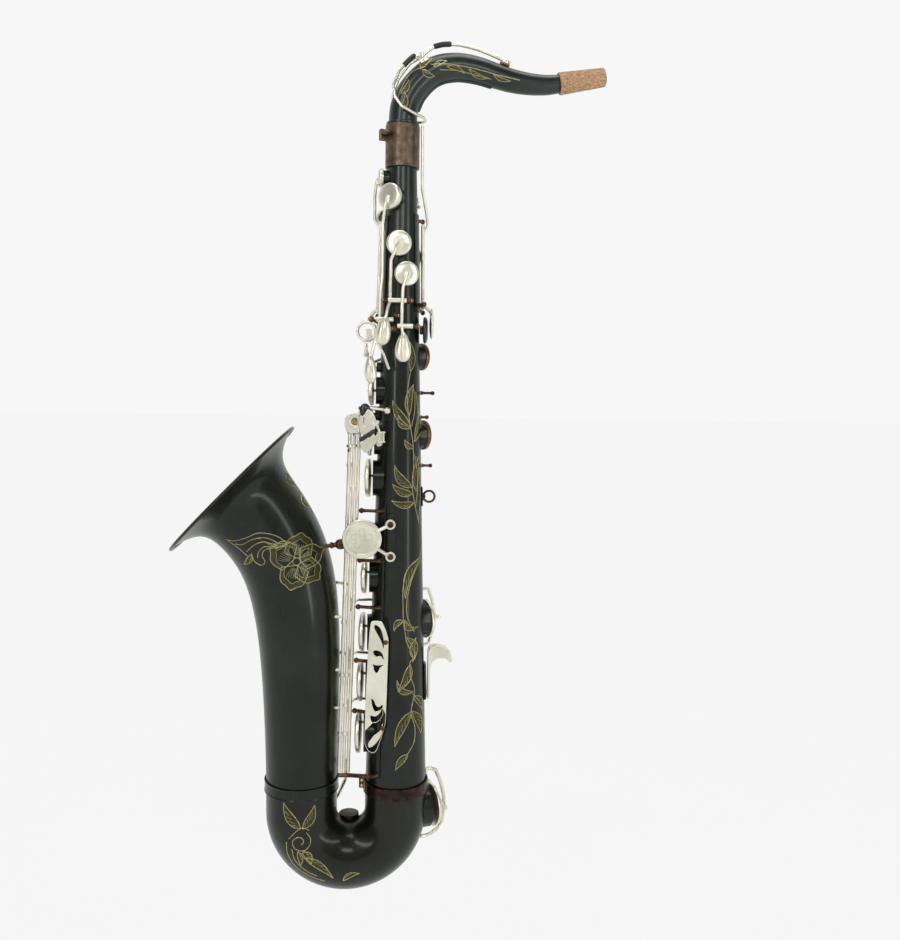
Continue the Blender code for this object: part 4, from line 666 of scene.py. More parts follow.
def bottom_bow():
    """Bow with the tone holes of low C and low C sharp."""
    points = bow_path()
    half = (len(points) - 1) / 2
    radii = []
    for i in range(len(points)):
        if i <= half:
            radii.append(straight(TUBE_BOTTOM_R, BOW_BOTTOM_R, i / half))
        else:
            radii.append(straight(BOW_BOTTOM_R, BELL_BASE_R, i / half - 1))
    bow = tube_wall("bow_fine", points, radii)
    low_c, low_c_tool = chimney("low_c_chimney", low_c_seat(), TUBE_BOTTOM_R)
    low_cs, low_cs_tool = chimney("low_cs_chimney", low_cs_seat(), BOW_BOTTOM_R)
    cut(bow, [low_c_tool, low_cs_tool])
    finish_piece(bow, "body", BLACK_BOW, "bottom_bow", slot="body_black")
    finish_piece(join("bow_chimneys", [low_c, low_cs]), "body", BLACK_BOW, slot="body_black")
    boss = lathe("crotch_boss", rounded([(0, -9.0), (9.6, -9.0), (9.6, 4.2), (0, 4.2)], 0.6),
                 Vector(((TUBE_X + BELL_X) / 2, 9.0, -312.75)), (0, 0, 1), 64)
    finish_piece(boss, "body", RING_BRONZE, slot="body_black")


def bell():
    """Flared bell with a rolled brass rim and its two tone holes."""
    shell = tube_wall("bell_fine", BELL_POINTS, BELL_RADII)
    rings, tools = [], []
    for name, share in (("low_b", LOW_B_SHARE), ("low_bb", LOW_BB_SHARE)):
        seat = bell_seat(share)
        ring, tool = chimney(name + "_chimney", seat, seat[3] - CHIMNEY_RISE)
        rings.append(ring)
        tools.append(tool)
    cut(shell, tools)
    finish_piece(shell, "body", BLACK, "bell", slot="body_black")
    finish_piece(join("bell_chimneys", rings), "body", BLACK, slot="body_black")
    tilt = math.radians(BELL_TILT)
    out = Vector((-math.sin(tilt), 0, math.cos(tilt)))
    centre = BELL_POINTS[-1] - out * 0.6
    turns = [2 * math.pi * i / 24 for i in range(25)]
    bead = [(BELL_RIM_R + math.cos(a) * RIM_BEAD_R, math.sin(a) * RIM_BEAD_R) for a in turns]
    finish_piece(lathe("bell_rim", bead, centre, out, 160), "body", BLACK, slot="body_black")
    line = [(BELL_RIM_R + math.cos(a) * (RIM_BEAD_R + 0.04), math.sin(a) * (RIM_BEAD_R + 0.04))
            for a in (0.9, 1.2, 1.5, 1.8)]
    finish_piece(lathe("bell_rim_worn_line", line, centre, out, 160), "body", BRASS, slot="post_bronze")
    posts = []
    for z in (-111.0, -161.0, -197.0):
        posts.append(bell_post(z))
    finish_piece(join("bell_posts", posts), "body", SILVER, slot="key_silver")


def bell_post(z):
    """Post from the bell's skin that ends just short of the nearest rod."""
    tip = along(low_rod(0), z) - Vector((ROD_R + FIT + ROD_POST_R, 0, 0))
    root = bell_path([(z - BELL_BASE_Z) / BELL_RISE * 0.42])[0] + Vector((BELL_BASE_R - 3.0, 0, 0))
    root.y = tip.y
    root.z = z
    return wire("bell_post", [root, (root + tip) / 2, tip], 1.4)


def low_rod(number):
    """Axis of a low key's rod."""
    dx = ROD_PITCH * (number - 0.5)
    bottom = Vector((TUBE_X + ROD_BOTTOM_DX + dx, ROD_Y, ROD_BOTTOM_Z))
    top = Vector((TUBE_X + ROD_TOP_DX + dx, ROD_Y, ROD_TOP_Z))
    return bottom, top


def along(line, z):
    """Point of a line at a height."""
    low, high = line
    return straight(low, high, (z - low.z) / (high.z - low.z))


def rings_on_bow():
    """Clamp ring with its turned edges and lug screws, and the band of the bell's joint."""
    top = TUBE_BOTTOM_Z + RING_HEIGHT * 0.57
    inner = TUBE_BOTTOM_R + FIT + 0.25
    outer = inner + RING_WALL
    low = top - RING_HEIGHT
    profile = rounded([(inner, low), (outer, low), (outer, low + 2.0), (outer - 0.5, low + 2.6),
                       (outer - 0.5, top - 2.6), (outer, top - 2.0), (outer, top), (inner,
                               top), (inner, low)], 0.35)
    ring = lathe("body_bow_ring_fine", profile, Vector((TUBE_X, 0, 0)), (0, 0, 1))
    finish_piece(ring, "body", RING_BRONZE, slot="post_bronze")
    out = around(-100.0)
    lug = Vector((TUBE_X, 0, (top + low) / 2)) + out * (inner + 2.6)
    screws = []
    for lift in (-2.6, 2.6):
        at = lug + Vector((0, 0, lift))
        across = out.cross(Vector((0, 0, 1)))
        screws.append(screw_head("ring_screw", at - across * 4.2, -across, 1.9))
    finish_piece(join("ring_screws", screws), "body", BRASS, slot="post_bronze")
    bell_top = BELL_BASE_Z + RING_HEIGHT * 0.4
    wide = BELL_BASE_R + FIT + 0.35
    low = bell_top - RING_HEIGHT
    edge = wide + 0.9
    profile = rounded([(wide, low), (edge, low), (edge, low + 1.2), (edge - 0.4, low + 1.7),
            (edge - 0.4, bell_top - 1.7),
                       (edge, bell_top - 1.2), (edge, bell_top), (wide, bell_top), (wide, low)], 0.25)
    band = lathe("bow_bell_ring_fine", profile, Vector((BELL_X, 0, 0)), (0, 0, 1))
    finish_piece(band, "body", BLACK, "bow_bell_ring", slot="body_black")


def screw_head(name, at, out, radius):
    """Small domed screw head."""
    profile = rounded([(0, 0.75), (radius * 0.7, 0.6), (radius, 0.25), (radius, -0.6), (0, -0.6)],
            0.15, 2)
    return lathe(name, profile, at, out, 24)


def slot_shade_strip(name, at, out, along_way, length):
    """Slot of a screw, as a thin dark strip on its head: painted shade of the groove."""
    out = Vector(out).normalized()
    way = (Vector(along_way) - out * out.dot(Vector(along_way))).normalized()
    return wire(name, [at + out * 0.62 - way * length, at + out * 0.72,
            at + out * 0.62 + way * length], 0.22, 6, 2)


# Neck

def neck_points():
    """Centreline of the neck, smooth from the receiver to the end of the cork."""
    bends = [
        (0.0, -29.0), (0.0, -10.0), (0.0, 2.0), (1.6, 18.0), (8.2, 32.0), (20.0, 45.0), (32.5, 51.8),
        (45.4, 54.3), (56.0, 54.2), (68.8, 52.2), (82.1, 48.6), (97.8, 44.6), (113.4, 42.4), (129.1,
                42.0),
        (141.0, 43.4), (162.2, 47.3), (184.1, 51.3),
    ]
    return [Vector((TUBE_X + dx, 0, RECEIVER_TOP_Z + dz)) for dx, dz in bends]


def neck_tube():
    """Neck tube with its bore, in one smooth sweep."""
    points = neck_points()
    run, runs = 0.0, [0.0]
    for a, b in zip(points, points[1:]):
        run += (b - a).length
        runs.append(run)
    straight_end, length = runs[2], runs[-3] - runs[2]
    cork_from, cork_to = points[-3], points[-1]
    out = (cork_to - points[-2]).normalized()
    path = smooth(points[:-2], 8)
    radii, run = [], 0.0
    for i, point in enumerate(path):
        if i:
            run += (point - path[i - 1]).length
        share = min(max(0.0, run - straight_end) / length, 1.0)
        radii.append(NECK_START_R - (NECK_START_R - NECK_END_R) * share ** 2)
    path += [cork_from + out * 0.2, cork_from + out * 0.7, cork_to + out * NECK_STICKOUT]
    radii += [NECK_END_R - 0.5, CORK_BORE_R, CORK_BORE_R]
    tube = tube_wall("neck_tube_fine", path, radii)
    finish_piece(tube, "neck", BLACK_UPPER, "neck_tube", slot="body_black")
    start = cork_from + out * (1.0 + FIT)
    span = (cork_to - start).length
    profile = [(CORK_BORE_R + FIT, 0), (CORK_START_R - 0.4, 0.0), (CORK_START_R, 0.6)]
    for i in range(1, 24):
        profile.append((straight(CORK_START_R, CORK_END_R, i / 24), span * i / 24))
    profile += [(CORK_END_R + 0.05, span - 0.7), (CORK_END_R - 0.5, span), (CORK_BORE_R + FIT, span),
            (CORK_BORE_R + FIT, 0)]
    cork = lathe("neck_cork_fine", profile, start, out)
    roughen(cork, 0.09, 0.5)
    finish_piece(cork, "neck", CORK, "neck_cork", slot="cork")
    low = RECEIVER_TOP_Z + FIT
    edge = NECK_START_R + 1.9
    profile = rounded([(NECK_START_R + FIT, low), (edge, low), (edge, low + 2.6),
            (NECK_START_R + FIT, low + 2.6),
                       (NECK_START_R + FIT, low)], 0.7)
    collar = lathe("neck_collar_fine", profile, Vector((TUBE_X, 0, 0)), (0, 0, 1))
    finish_piece(collar, "neck", BLACK_UPPER, "neck_collar", slot="body_black")
    brace = []
    for i in range(3, 11):
        tangent = (points[i + 1] - points[i - 1]).normalized()
        inward = Vector((tangent.z, 0, -tangent.x))
        share = min(max(0.0, runs[i] - straight_end) / length, 1.0)
        radius = NECK_START_R - (NECK_START_R - NECK_END_R) * share ** 2
        brace.append(points[i] + inward * (radius + 0.3))
    finish_piece(wire("neck_brace_fine", brace, 1.3), "neck", BLACK_UPPER, slot="body_black")


def roughen(piece, depth, scale):
    """Moves each vertex a little along its normal, by a fixed noise."""
    mesh = piece.data
    for vert in mesh.vertices:
        vert.co += vert.normal * noise.noise(vert.co / MM * scale) * depth * MM


def receiver():
    """Sleeve around the neck's tenon, with turned edges."""
    inner = TUBE_TOP_R + FIT
    outer = inner + RECEIVER_WALL
    low, high = RECEIVER_BOTTOM_Z, RECEIVER_TOP_Z
    profile = rounded([(inner, low), (outer - 0.5, low), (outer, low + 0.6), (outer, low + 3.4),
            (outer - 0.5, low + 4.0),
                       (outer - 0.5, high - 4.4), (outer, high - 3.8), (outer, high), (inner,
                               high), (inner, low)], 0.3)
    sleeve = lathe("receiver_fine", profile, Vector((TUBE_X, 0, 0)), (0, 0, 1))
    finish_piece(sleeve, "body", RECEIVER, slot="post_bronze")


# Keywork: the CAD pieces rounded as cast and polished metal

ORGANIC = {
    "key_silver": SILVER,
    "post_bronze": BRONZE,
    "body_black": BLACK,
    "thumb_black": DARK,
}


def polished(node, voxel=0.42, rounds=4, swell=0.12, keep=None):
    """Rounded copy of a CAD node: remeshed finely, relaxed and swollen back, as polished metal looks."""
    source = frame["nodes"][node]
    bm = bmesh.new()
    bm.from_mesh(source.data)
    bmesh.ops.remove_doubles(bm, verts=bm.verts, dist=2e-6)
    mesh = bpy.data.meshes.new(node + "_fine")
    bm.to_mesh(mesh)
    bm.free()
    piece = bpy.data.objects.new(node + "_fine", mesh)
    bpy.context.scene.collection.objects.link(piece)
    remesh = piece.modifiers.new("remesh", "REMESH")
    remesh.mode = "VOXEL"
    remesh.voxel_size = voxel * MM
    relax = piece.modifiers.new("relax", "SMOOTH")
    relax.factor = 0.5
    relax.iterations = rounds
    depsgraph = bpy.context.evaluated_depsgraph_get()
    made = bpy.data.meshes.new_from_object(piece.evaluated_get(depsgraph))
    piece.modifiers.clear()
    bm = bmesh.new()
    bm.from_mesh(made)
    for vert in bm.verts:
        vert.co += vert.normal * swell * MM
    if keep:
        bmesh.ops.delete(bm, geom=[v for v in bm.verts if not keep(v.co / MM)], context="VERTS")
    bm.to_mesh(made)
    bm.free()
    piece.data = made
    made.shade_smooth()
    return piece


def darken_near_tube(piece, reach):
    """Gives the faces that lie within reach of the body tube the body's own finish."""
    piece.data.materials.append(BLACK)
    for face in piece.data.polygons:
        centre = face.center / MM
        off = math.hypot(centre.x - TUBE_X, centre.y) - tube_radius(centre.z)
        if off < reach:
            face.material_index = 1


REPLACED = {"body_tube", "bottom_bow", "bell", "bow_bell_ring", "neck_tube", "neck_cork", "neck_collar",
            "bell_brace", "clothes_guard"}
RIBBED = {"palm_key_posts", "front_f_posts", "upper_stack_posts", "lower_stack_posts",
        "side_key_posts_low",
          "side_key_posts_high", "player_side_posts", "table_bracket", "low_rod_posts", "octave_posts",
          "strap_ring", "thumb_hook_base", "brace_body_foot"}
TABLE_NODES = {"g_sharp_touch", "low_cs_key", "low_b_key", "low_bb_key"}


def clear_of_table(point):
    """True outside the place of the flat touches, which are made finer."""
    return not (point.y < TABLE_Y + 2.0 and 38.0 < point.z < 84.0)


def keywork():
    """Every remaining CAD node, rounded and in its own finish."""
    slots = {entry["node"]: entry["material_slot"] for entry in frame["record"]["subparts"]}
    owner = {}
    for body, members in frame["record"]["behaviour"]["bodies"].items():
        for member in members:
            owner[member] = body
    special = {"neck_receiver": RECEIVER, "body_bow_ring": RING_BRONZE, "neck_screw": RECEIVER}
    for node, body in owner.items():
        if node in REPLACED:
            continue
        voxel = 0.42
        piece = polished(node, voxel, keep=clear_of_table if node in TABLE_NODES else None)
        material = special.get(node, ORGANIC[slots[node]])
        finish_piece(piece, body, material, node, slot=slots[node])
        if node in RIBBED:
            darken_near_tube(piece, 1.7)


# Cups, pads and pearls

def joint_of(body):
    """Point, in millimetres, and axis of the joint that carries a body."""
    for joint in frame["joints"]:
        if joint["child"] == body:
            return Vector(joint["pos_m"]) / MM, Vector(joint["axis"])
    return None


def opened(pieces, body, angle):
    """Turns pieces made in the closed place to the key's rest angle."""
    if not angle:
        return
    point, axis = joint_of(body)
    there = Matrix.Translation(point * MM)
    turn = there @ Matrix.Rotation(math.radians(angle), 4, axis) @ there.inverted()
    for piece in pieces:
        piece.data.transform(turn)


CUPS = {
    "palm_f_key": ("palm_f", 0.0), "palm_eb_key": ("palm_eb", 0.0), "palm_d_key": ("palm_d", 0.0),
    "front_f_key": ("front_f", 0.0), "high_fs_key": ("high_fs", 0.0), "side_e_key": ("side_e", 0.0),
    "side_c_key": ("side_c", 0.0), "side_bb_key": ("side_bb", 0.0), "c_vent_key": ("c_vent",
            STACK_OPEN),
    "b_key": ("b", STACK_OPEN), "bis_key": ("bis", STACK_OPEN), "a_key": ("a", STACK_OPEN),
    "g_key": ("g", STACK_OPEN), "g_sharp_key": ("g_sharp", 0.0), "f_sharp_key": ("f_sharp", STACK_OPEN),
    "f_key": ("f", STACK_OPEN), "e_key": ("e", STACK_OPEN), "d_key": ("d",
            STACK_OPEN), "eb_key": ("eb", 0.0),
}


def seats():
    """Each cup key with its seat and rest angle."""
    made = {node: (body_seat(hole), rest) for node, (hole, rest) in CUPS.items()}
    made["low_c_key"] = (low_c_seat(), LOW_C_OPEN)
    made["low_cs_key"] = (low_cs_seat(), 0.0)
    made["low_b_key"] = (bell_seat(LOW_B_SHARE), LOW_BELL_OPEN)
    made["low_bb_key"] = (bell_seat(LOW_BB_SHARE), LOW_BELL_OPEN)
    return made


def cups():
    """Spun cups with a stepped edge, each with its leather pad."""
    for node, ((root, direction, bore, reach), rest) in seats().items():
        body = node + "_body"
        radius = bore + WALL + CUP_OVERHANG - 0.9
        base = root + direction * (reach + FIT)
        top = CUP_HEIGHT
        profile = [(radius - 1.0, 0.05), (radius + 0.12, -0.02), (radius + 0.16, 0.5),
                (radius + 0.12, top - 2.1),
                   (radius * 0.985, top - 1.5), (radius * 0.93, top - 1.0), (radius * 0.90, top - 0.82),
                   (radius * 0.88, top - 0.72), (radius * 0.78, top - 0.40), (radius * 0.6, top - 0.12),
                   (radius * 0.35, top + 0.02), (0, top + 0.08)]
        cup = lathe(node + "_cup", profile, base, direction)
        pad_edge = radius - 0.45
        pad = lathe(node + "_pad", [(0, 0.05), (bore - 0.6, 0.05), (bore + 0.5, 0.22),
                (bore + WALL, 0.05),
                                    (pad_edge - 0.25, -0.12), (pad_edge, 0.2), (pad_edge, 1.2), (0,
                                            1.2)],
                    base, direction)
        opened([cup, pad], body, rest)
        finish_piece(cup, body, CUP_BRONZE if node in ("side_c_key", "side_bb_key") else SILVER,
                slot="key_silver")
        finish_piece(pad, body, LEATHER, slot="thumb_black")


PEARLS = {
    "b_key": (135.0, 10.6), "f_key": (-103.0, 16.2), "e_key": (-152.0, 16.2), "d_key": (-200.5, 16.2),
}


def pearls():
    """Mother-of-pearl touches in turned holders."""
    for node, (z, reach) in PEARLS.items():
        seat = on_tube(-90.0, z, reach)
        out = around(-90.0)
        body = node + "_body"
        holder = lathe(node + "_pearl_holder", rounded([(0, 0.0), (PEARL_R - 0.6, 0.0),
                (PEARL_R + 0.1, 0.8),
                                                        (PEARL_R + 0.1, 2.7), (PEARL_R - 0.8,
                                                                2.75), (PEARL_R - 0.8, 2.0),
                                                        (0, 2.0)], 0.2), seat, out)
        stone = lathe(node + "_pearl", [(PEARL_R - 0.85, 2.1), (PEARL_R - 0.85, 2.6),
                (PEARL_R - 1.5, 2.45),
                                        (PEARL_R * 0.4, 2.25), (0, 2.2)], seat, out)
        opened([holder, stone], body, STACK_OPEN)
        finish_piece(holder, body, SILVER, slot="key_silver")
        finish_piece(stone, body, PEARL, slot="cork")


# Fittings made finer than the part

def flat_shape(name, outlines, thickness, bevel, y, closed_smooth=True):
    """Plate from outlines of (x, z) points; the outlines after the first are holes."""
    curve = bpy.data.curves.new(name, "CURVE")
    curve.dimensions = "2D"
    curve.fill_mode = "BOTH"
    curve.extrude = (thickness / 2 - bevel) * MM
    curve.bevel_depth = bevel * MM
    curve.bevel_resolution = 2
    curve.offset = -bevel * MM
    for number, outline in enumerate(outlines):
        points = [Vector((x, z, 0)) for x, z in outline]
        if closed_smooth or number:
            ring = smooth([points[-1], *points, points[0], points[1]], 5)
            points = ring[5:-6]
        spline = curve.splines.new("POLY")
        spline.points.add(len(points) - 1)
        for place, point in zip(spline.points, points):
            place.co = (point.x * MM, point.y * MM, 0.0, 1.0)
        spline.use_cyclic_u = True
    held = bpy.data.objects.new(name, curve)
    bpy.context.scene.collection.objects.link(held)
    mesh = bpy.data.meshes.new_from_object(held.evaluated_get(bpy.context.evaluated_depsgraph_get()))
    bpy.data.objects.remove(held, do_unlink=True)
    mesh.transform(Matrix.Translation((0, y * MM, 0)) @ Matrix.Rotation(math.pi / 2, 4, "X"))
    made = bpy.data.objects.new(name, mesh)
    bpy.context.scene.collection.objects.link(made)
    mesh.shade_smooth()
    mesh.set_sharp_from_angle(angle=math.radians(35))
    return made


def sphere(name, centre, radius, stretch=(1, 1, 1)):
    """Smooth ball, stretched along X, Y and Z."""
    bm = bmesh.new()
    bmesh.ops.create_uvsphere(bm, u_segments=32, v_segments=20, radius=radius * MM)
    bmesh.ops.transform(bm, verts=bm.verts,
            matrix=Matrix.Translation(Vector(centre) * MM) @ Matrix.Diagonal((*stretch, 1)))
    return from_bmesh(name, bm, 80)


def rod_screw(name, at, out, radius):
    """Head of a pivot screw, and its slot as a piece of its own, a dark strip of painted shade."""
    out = Vector(out).normalized()
    head = screw_head(name, at, out, radius)
    side = out.orthogonal().normalized()
    groove = slot_shade_strip(name + "_slot", Vector(at), out, side, radius * 0.75)
    return head, groove


def clothes_guard():
    """Clothes guard with its flame-shaped cuts."""
    y = -tube_radius(-208.0) - 1.0
    outline = [(-52.2, -112.0), (-46.0, -111.6), (-42.6, -113.4), (-38.0, -125.0), (-37.1, -134.0),
            (-37.9, -170.0),
               (-38.9, -204.0), (-40.6, -214.0), (-46.0, -231.0), (-49.6, -235.4), (-54.0,
                       -234.0), (-57.2, -229.0),
               (-58.2, -220.0), (-57.3, -180.0), (-55.6, -140.0), (-54.0, -118.0)]
    flames = [
        [(-49.6, -115.4), (-46.4, -116.6), (-43.4, -121.0), (-41.4, -130.0), (-41.4, -137.0),
                (-43.4, -131.0), (-47.0, -124.0), (-49.8, -119.0)],
        [(-50.6, -139.4), (-46.4, -139.2), (-43.0, -141.6), (-41.2, -147.4), (-43.8, -144.4),
                (-47.6, -144.6), (-50.0, -143.0)],
        [(-51.0, -151.8), (-47.8, -153.0), (-41.6, -152.8), (-44.8, -155.4), (-47.2, -160.0),
                (-50.0, -157.4), (-50.2, -154.6)],
        [(-52.2, -184.6), (-49.6, -186.4), (-48.2, -190.2), (-45.4, -192.0), (-41.8, -190.0),
                (-43.0, -194.0), (-47.8, -196.0), (-50.6, -193.0)],
        [(-53.0, -200.2), (-48.4, -200.8), (-44.4, -197.8), (-42.0, -193.4), (-42.2, -200.0),
                (-46.6, -205.4), (-51.4, -206.0)],
        [(-54.2, -226.6), (-49.4, -219.6), (-43.8, -215.4), (-42.0, -209.4), (-43.2, -218.2),
                (-48.4, -226.2), (-53.2, -229.6)],
    ]
    plate = flat_shape("clothes_guard_plate", [outline, *flames], 1.4, 0.4, y)
    finish_piece(plate, "body", SILVER, "clothes_guard", slot="key_silver")
    heads, grooves, posts = [], [], []
    for dx, z in ((-11.2, -131.6), (-13.2, -212.0)):
        eye = Vector((TUBE_X + dx, y, z))
        posts.append(wire("guard_post", [eye, on_tube(math.degrees(math.asin(dx / tube_radius(z))), z,
                0.2)], 2.2, steps=0))
        head, groove = rod_screw("guard_screw", eye - Vector((0, 0.7, 0)), (0, -1, 0), 2.3)
        heads.append(head)
        grooves.append(groove)
    finish_piece(join("guard_posts", posts), "body", BRONZE, slot="post_bronze")
    finish_piece(join("guard_screws", heads), "body", BRONZE, slot="post_bronze")
    # The dark strips in the screw slots are painted shade of the grooves.
    finish_piece(join("guard_screw_slot_shades", grooves), "body", RUBBER_AND_SLOT_SHADE, slot="post_bronze")


def brace():
    """Brace between bell and body: a rimmed disc with two screwed arms and a plain turned medallion."""
    disc_at = beside(-33.6, 0, -36.5)
    disc_at.y = -tube_radius(-36.5) - 4.4
    out = Vector((0, -1, 0))
    profile = rounded([(0, 1.5), (13.6, 1.5), (13.9, 2.2), (14.6, 2.25), (14.9, 1.2), (17.3, 1.2),
            (17.9, 0.6), (17.9, -1.3),
                       (17.2, -1.7), (0, -1.7)], 0.25)
    pieces = [lathe("brace_disc", profile, disc_at, out)]
    heads, grooves = [], []
    for dx, z in ((-8.0, -23.2), (-7.7, -52.7)):
        eye = Vector((TUBE_X + dx, disc_at.y, z))
        ring = rounded([(2.9, 1.3), (4.3, 1.3), (4.7, 0.8), (4.7, -0.8), (4.3, -1.3), (0, -1.3)], 0.2)
        pieces.append(lathe("brace_eye", [(0, 0.2), (2.9, 0.2), *ring], eye, out, 48))
        way = (eye - disc_at).normalized()
        pieces.append(wire("brace_arm", [disc_at + way * 15.5, disc_at + way * 19.5, eye - way * 4.0],
                1.7, steps=4, domed=False))
        head, groove = rod_screw("brace_screw", eye + out * 0.9, out, 2.8)
        heads.append(head)
        grooves.append(groove)
    finish_piece(join("bell_brace_fine", pieces), "body", SILVER, "bell_brace", slot="key_silver")
    finish_piece(join("brace_screws", heads), "body", BRONZE, slot="post_bronze")
    # The dark strips in the screw slots are painted shade of the grooves.
    finish_piece(join("brace_screw_slot_shades", grooves), "body", RUBBER_AND_SLOT_SHADE, slot="post_bronze")
    petals = []
    for number in range(5):
        turn = math.radians(72 * number + 18)
        way, across = Vector((math.cos(turn), 0, math.sin(turn))), Vector((-math.sin(turn), 0,
                math.cos(turn)))
        loop = [disc_at + out * 1.55 + way * a + across * b for a, b in
                ((1.5, 0), (5.0, 2.6), (8.6, 2.2), (9.6, 0), (8.6, -2.2), (5.0, -2.6), (1.5, 0))]
        petals.append(wire("petal", loop, 0.16, 6, 4))
    finish_piece(join("brace_flower", petals), "body", STEEL, slot="key_silver")
    left = Vector((TUBE_X - 52.7, disc_at.y + 7.0, -42.2))
    knob = [lathe("brace_knob", rounded([(0, 6.6), (2.6, 6.0), (4.4, 3.6), (4.9, 0), (4.2, -3.4),
            (2.4, -4.6), (2.2, -7.0),
                                         (3.0, -8.0), (3.0, -9.6), (0, -10.0)], 0.8), left, (1, 0.1,
                                                 0.12), 40)]
    finish_piece(join("brace_ball", knob), "body", BRONZE, slot="post_bronze")


def table():
    """Little-finger table: plates, a roller, the lobed ring and the bracket's pin."""
    plate_a = [(-65.0, 74.4), (-61.4, 75.2), (-58.2, 80.6), (-55.2, 79.6), (-52.8, 70.0),
            (-51.2, 63.4), (-56.6, 60.2),
               (-61.4, 57.6), (-65.0, 61.6)]
    slot = [(-61.6, 73.6), (-60.4, 73.2), (-60.0, 69.0), (-60.4, 66.2), (-61.4, 68.8)]
    upper = flat_shape("g_sharp_plate", [plate_a, slot], 1.8, 0.5, TABLE_Y)
    finish_piece(upper, "g_sharp_touch_body", SILVER, slot="key_silver")
    dome = sphere("g_sharp_dome", (-60.2, TABLE_Y + 1.6, 80.0), 5.0, (1.0, 0.5, 1.25))
    finish_piece(dome, "g_sharp_touch_body", DARK, slot="key_silver")
    plate_b = [(-62.4, 52.4), (-56.0, 55.4), (-51.4, 58.0), (-49.9, 51.6), (-54.4, 45.4),
            (-58.4, 41.9), (-61.6, 43.0), (-64.6, 49.6)]
    lower = flat_shape("low_b_plate", [plate_b], 1.8, 0.5, TABLE_Y)
    finish_piece(lower, "low_b_key_body", SILVER, slot="key_silver")
    roller = wire("table_roller", [(-63.4, TABLE_Y - 0.4, 53.9), (-58.0, TABLE_Y - 0.4, 57.4),
            (-52.6, TABLE_Y - 0.4, 61.0)], 2.0, 24, 2)
    finish_piece(roller, "low_b_key_body", DARK, slot="key_silver")
    small = flat_shape("low_bb_plate", [[(-50.6, 56.4), (-47.0, 60.6), (-44.6, 60.0), (-44.4, 50.0),
            (-47.0, 47.6), (-49.4, 48.6)]],
                       1.6, 0.45, TABLE_Y + 1.8)
    spool = [small, wire("spool_pin", [(-43.4, TABLE_Y, 60.4), (-43.4, TABLE_Y, 52.2)], 1.0, 16, 0)]
    for z in (60.4, 51.8):
        spool.append(lathe("spool_end", rounded([(0, 0.7), (1.9, 0.7), (1.9, -0.7), (0, -0.7)], 0.3),
                (-43.4, TABLE_Y, z), (0, 0, 1), 32))
        spool.append(wire("spool_arm", [(-43.4, TABLE_Y, z), (-48.4, TABLE_Y + 1.4, z - 0.8)], 1.2, 16,
                0))
    finish_piece(join("low_bb_touch", spool), "low_bb_key_body", SILVER, slot="key_silver")
    ring = flat_shape("low_cs_ring", [
        [(-78.4, 70.0), (-76.6, 75.2), (-72.4, 77.4), (-67.4, 76.8), (-65.6, 73.0), (-65.4, 64.0),
                (-66.0, 59.6), (-75.0, 59.6), (-77.8, 64.6)],
        [(-73.2, 69.4), (-71.6, 72.6), (-68.0, 73.0), (-66.8, 69.4), (-68.0, 65.6),
                (-71.8, 65.8)]], 3.0, 0.8, TABLE_Y + 1.4)
    finish_piece(ring, "low_cs_key_body", SILVER, slot="key_silver")
    collars = []
    for z, radius in ((59.6, 4.8), (47.4, 5.2)):
        middle = (along(low_rod(0), z) + along(low_rod(1), z)) / 2
        collars.append(lathe("rod_collar", rounded([(0, 1.3), (radius, 1.3), (radius, -1.3),
                (0, -1.3)], 0.5), middle, (0, 0, 1), 40))
    finish_piece(join("table_collars", collars), "low_cs_key_body", SILVER, slot="key_silver")
    pin = wire("table_pin", [(-56.0, TABLE_Y + 2.6, 81.9), (-48.0, TABLE_Y + 2.0, 81.4),
            (-41.0, TABLE_Y + 1.4, 80.3)], 1.35, 20, 4)
    end = sphere("table_pin_end", (-40.2, TABLE_Y + 1.6, 79.8), 3.0, (1, 0.7, 1))
    strut = wire("table_strut", [(-54.6, TABLE_Y + 1.4, 78.6), (-50.6, TABLE_Y + 1.0, 70.0),
            (-47.0, TABLE_Y + 1.4, 60.8)], 1.3, 16, 4)
    finish_piece(join("table_pins", [pin, end]), "body", SILVER, slot="key_silver")
    finish_piece(strut, "g_sharp_touch_body", SILVER, slot="key_silver")
    screw, groove = rod_screw("table_screw", Vector((-69.2, TABLE_Y + 4.0, 69.6)), (0, -1, 0), 3.6)
    finish_piece(screw, "body", BRASS, slot="post_bronze")
    # The dark strip in the screw slot is painted shade of the groove.
    finish_piece(groove, "body", RUBBER_AND_SLOT_SHADE, slot="post_bronze")


def teardrop(name, at, lean, length, width):
    """Palm touch: an egg-shaped shell, narrower at the top."""
    along_way = Vector(lean).normalized()
    across = Vector((along_way.z, 0, -along_way.x))
    out = Vector((0, -1, 0))
    rings = []
    for i in range(1, 30):
        u = math.cos(math.pi * i / 30)
        half = width / 2 * math.sqrt(1 - u * u) * (1.0 - 0.30 * u)
        thick = length * 0.15 * math.sqrt(1 - u * u)
        ring = []
        for k in range(28):
            turn = 2 * math.pi * k / 28
            sideways = across * half * math.cos(turn)
            ring.append(at + along_way * u * length / 2 + sideways + out * thick * math.sin(turn))
        rings.append(ring)
    return rings_mesh(name, rings, soft=170.0)


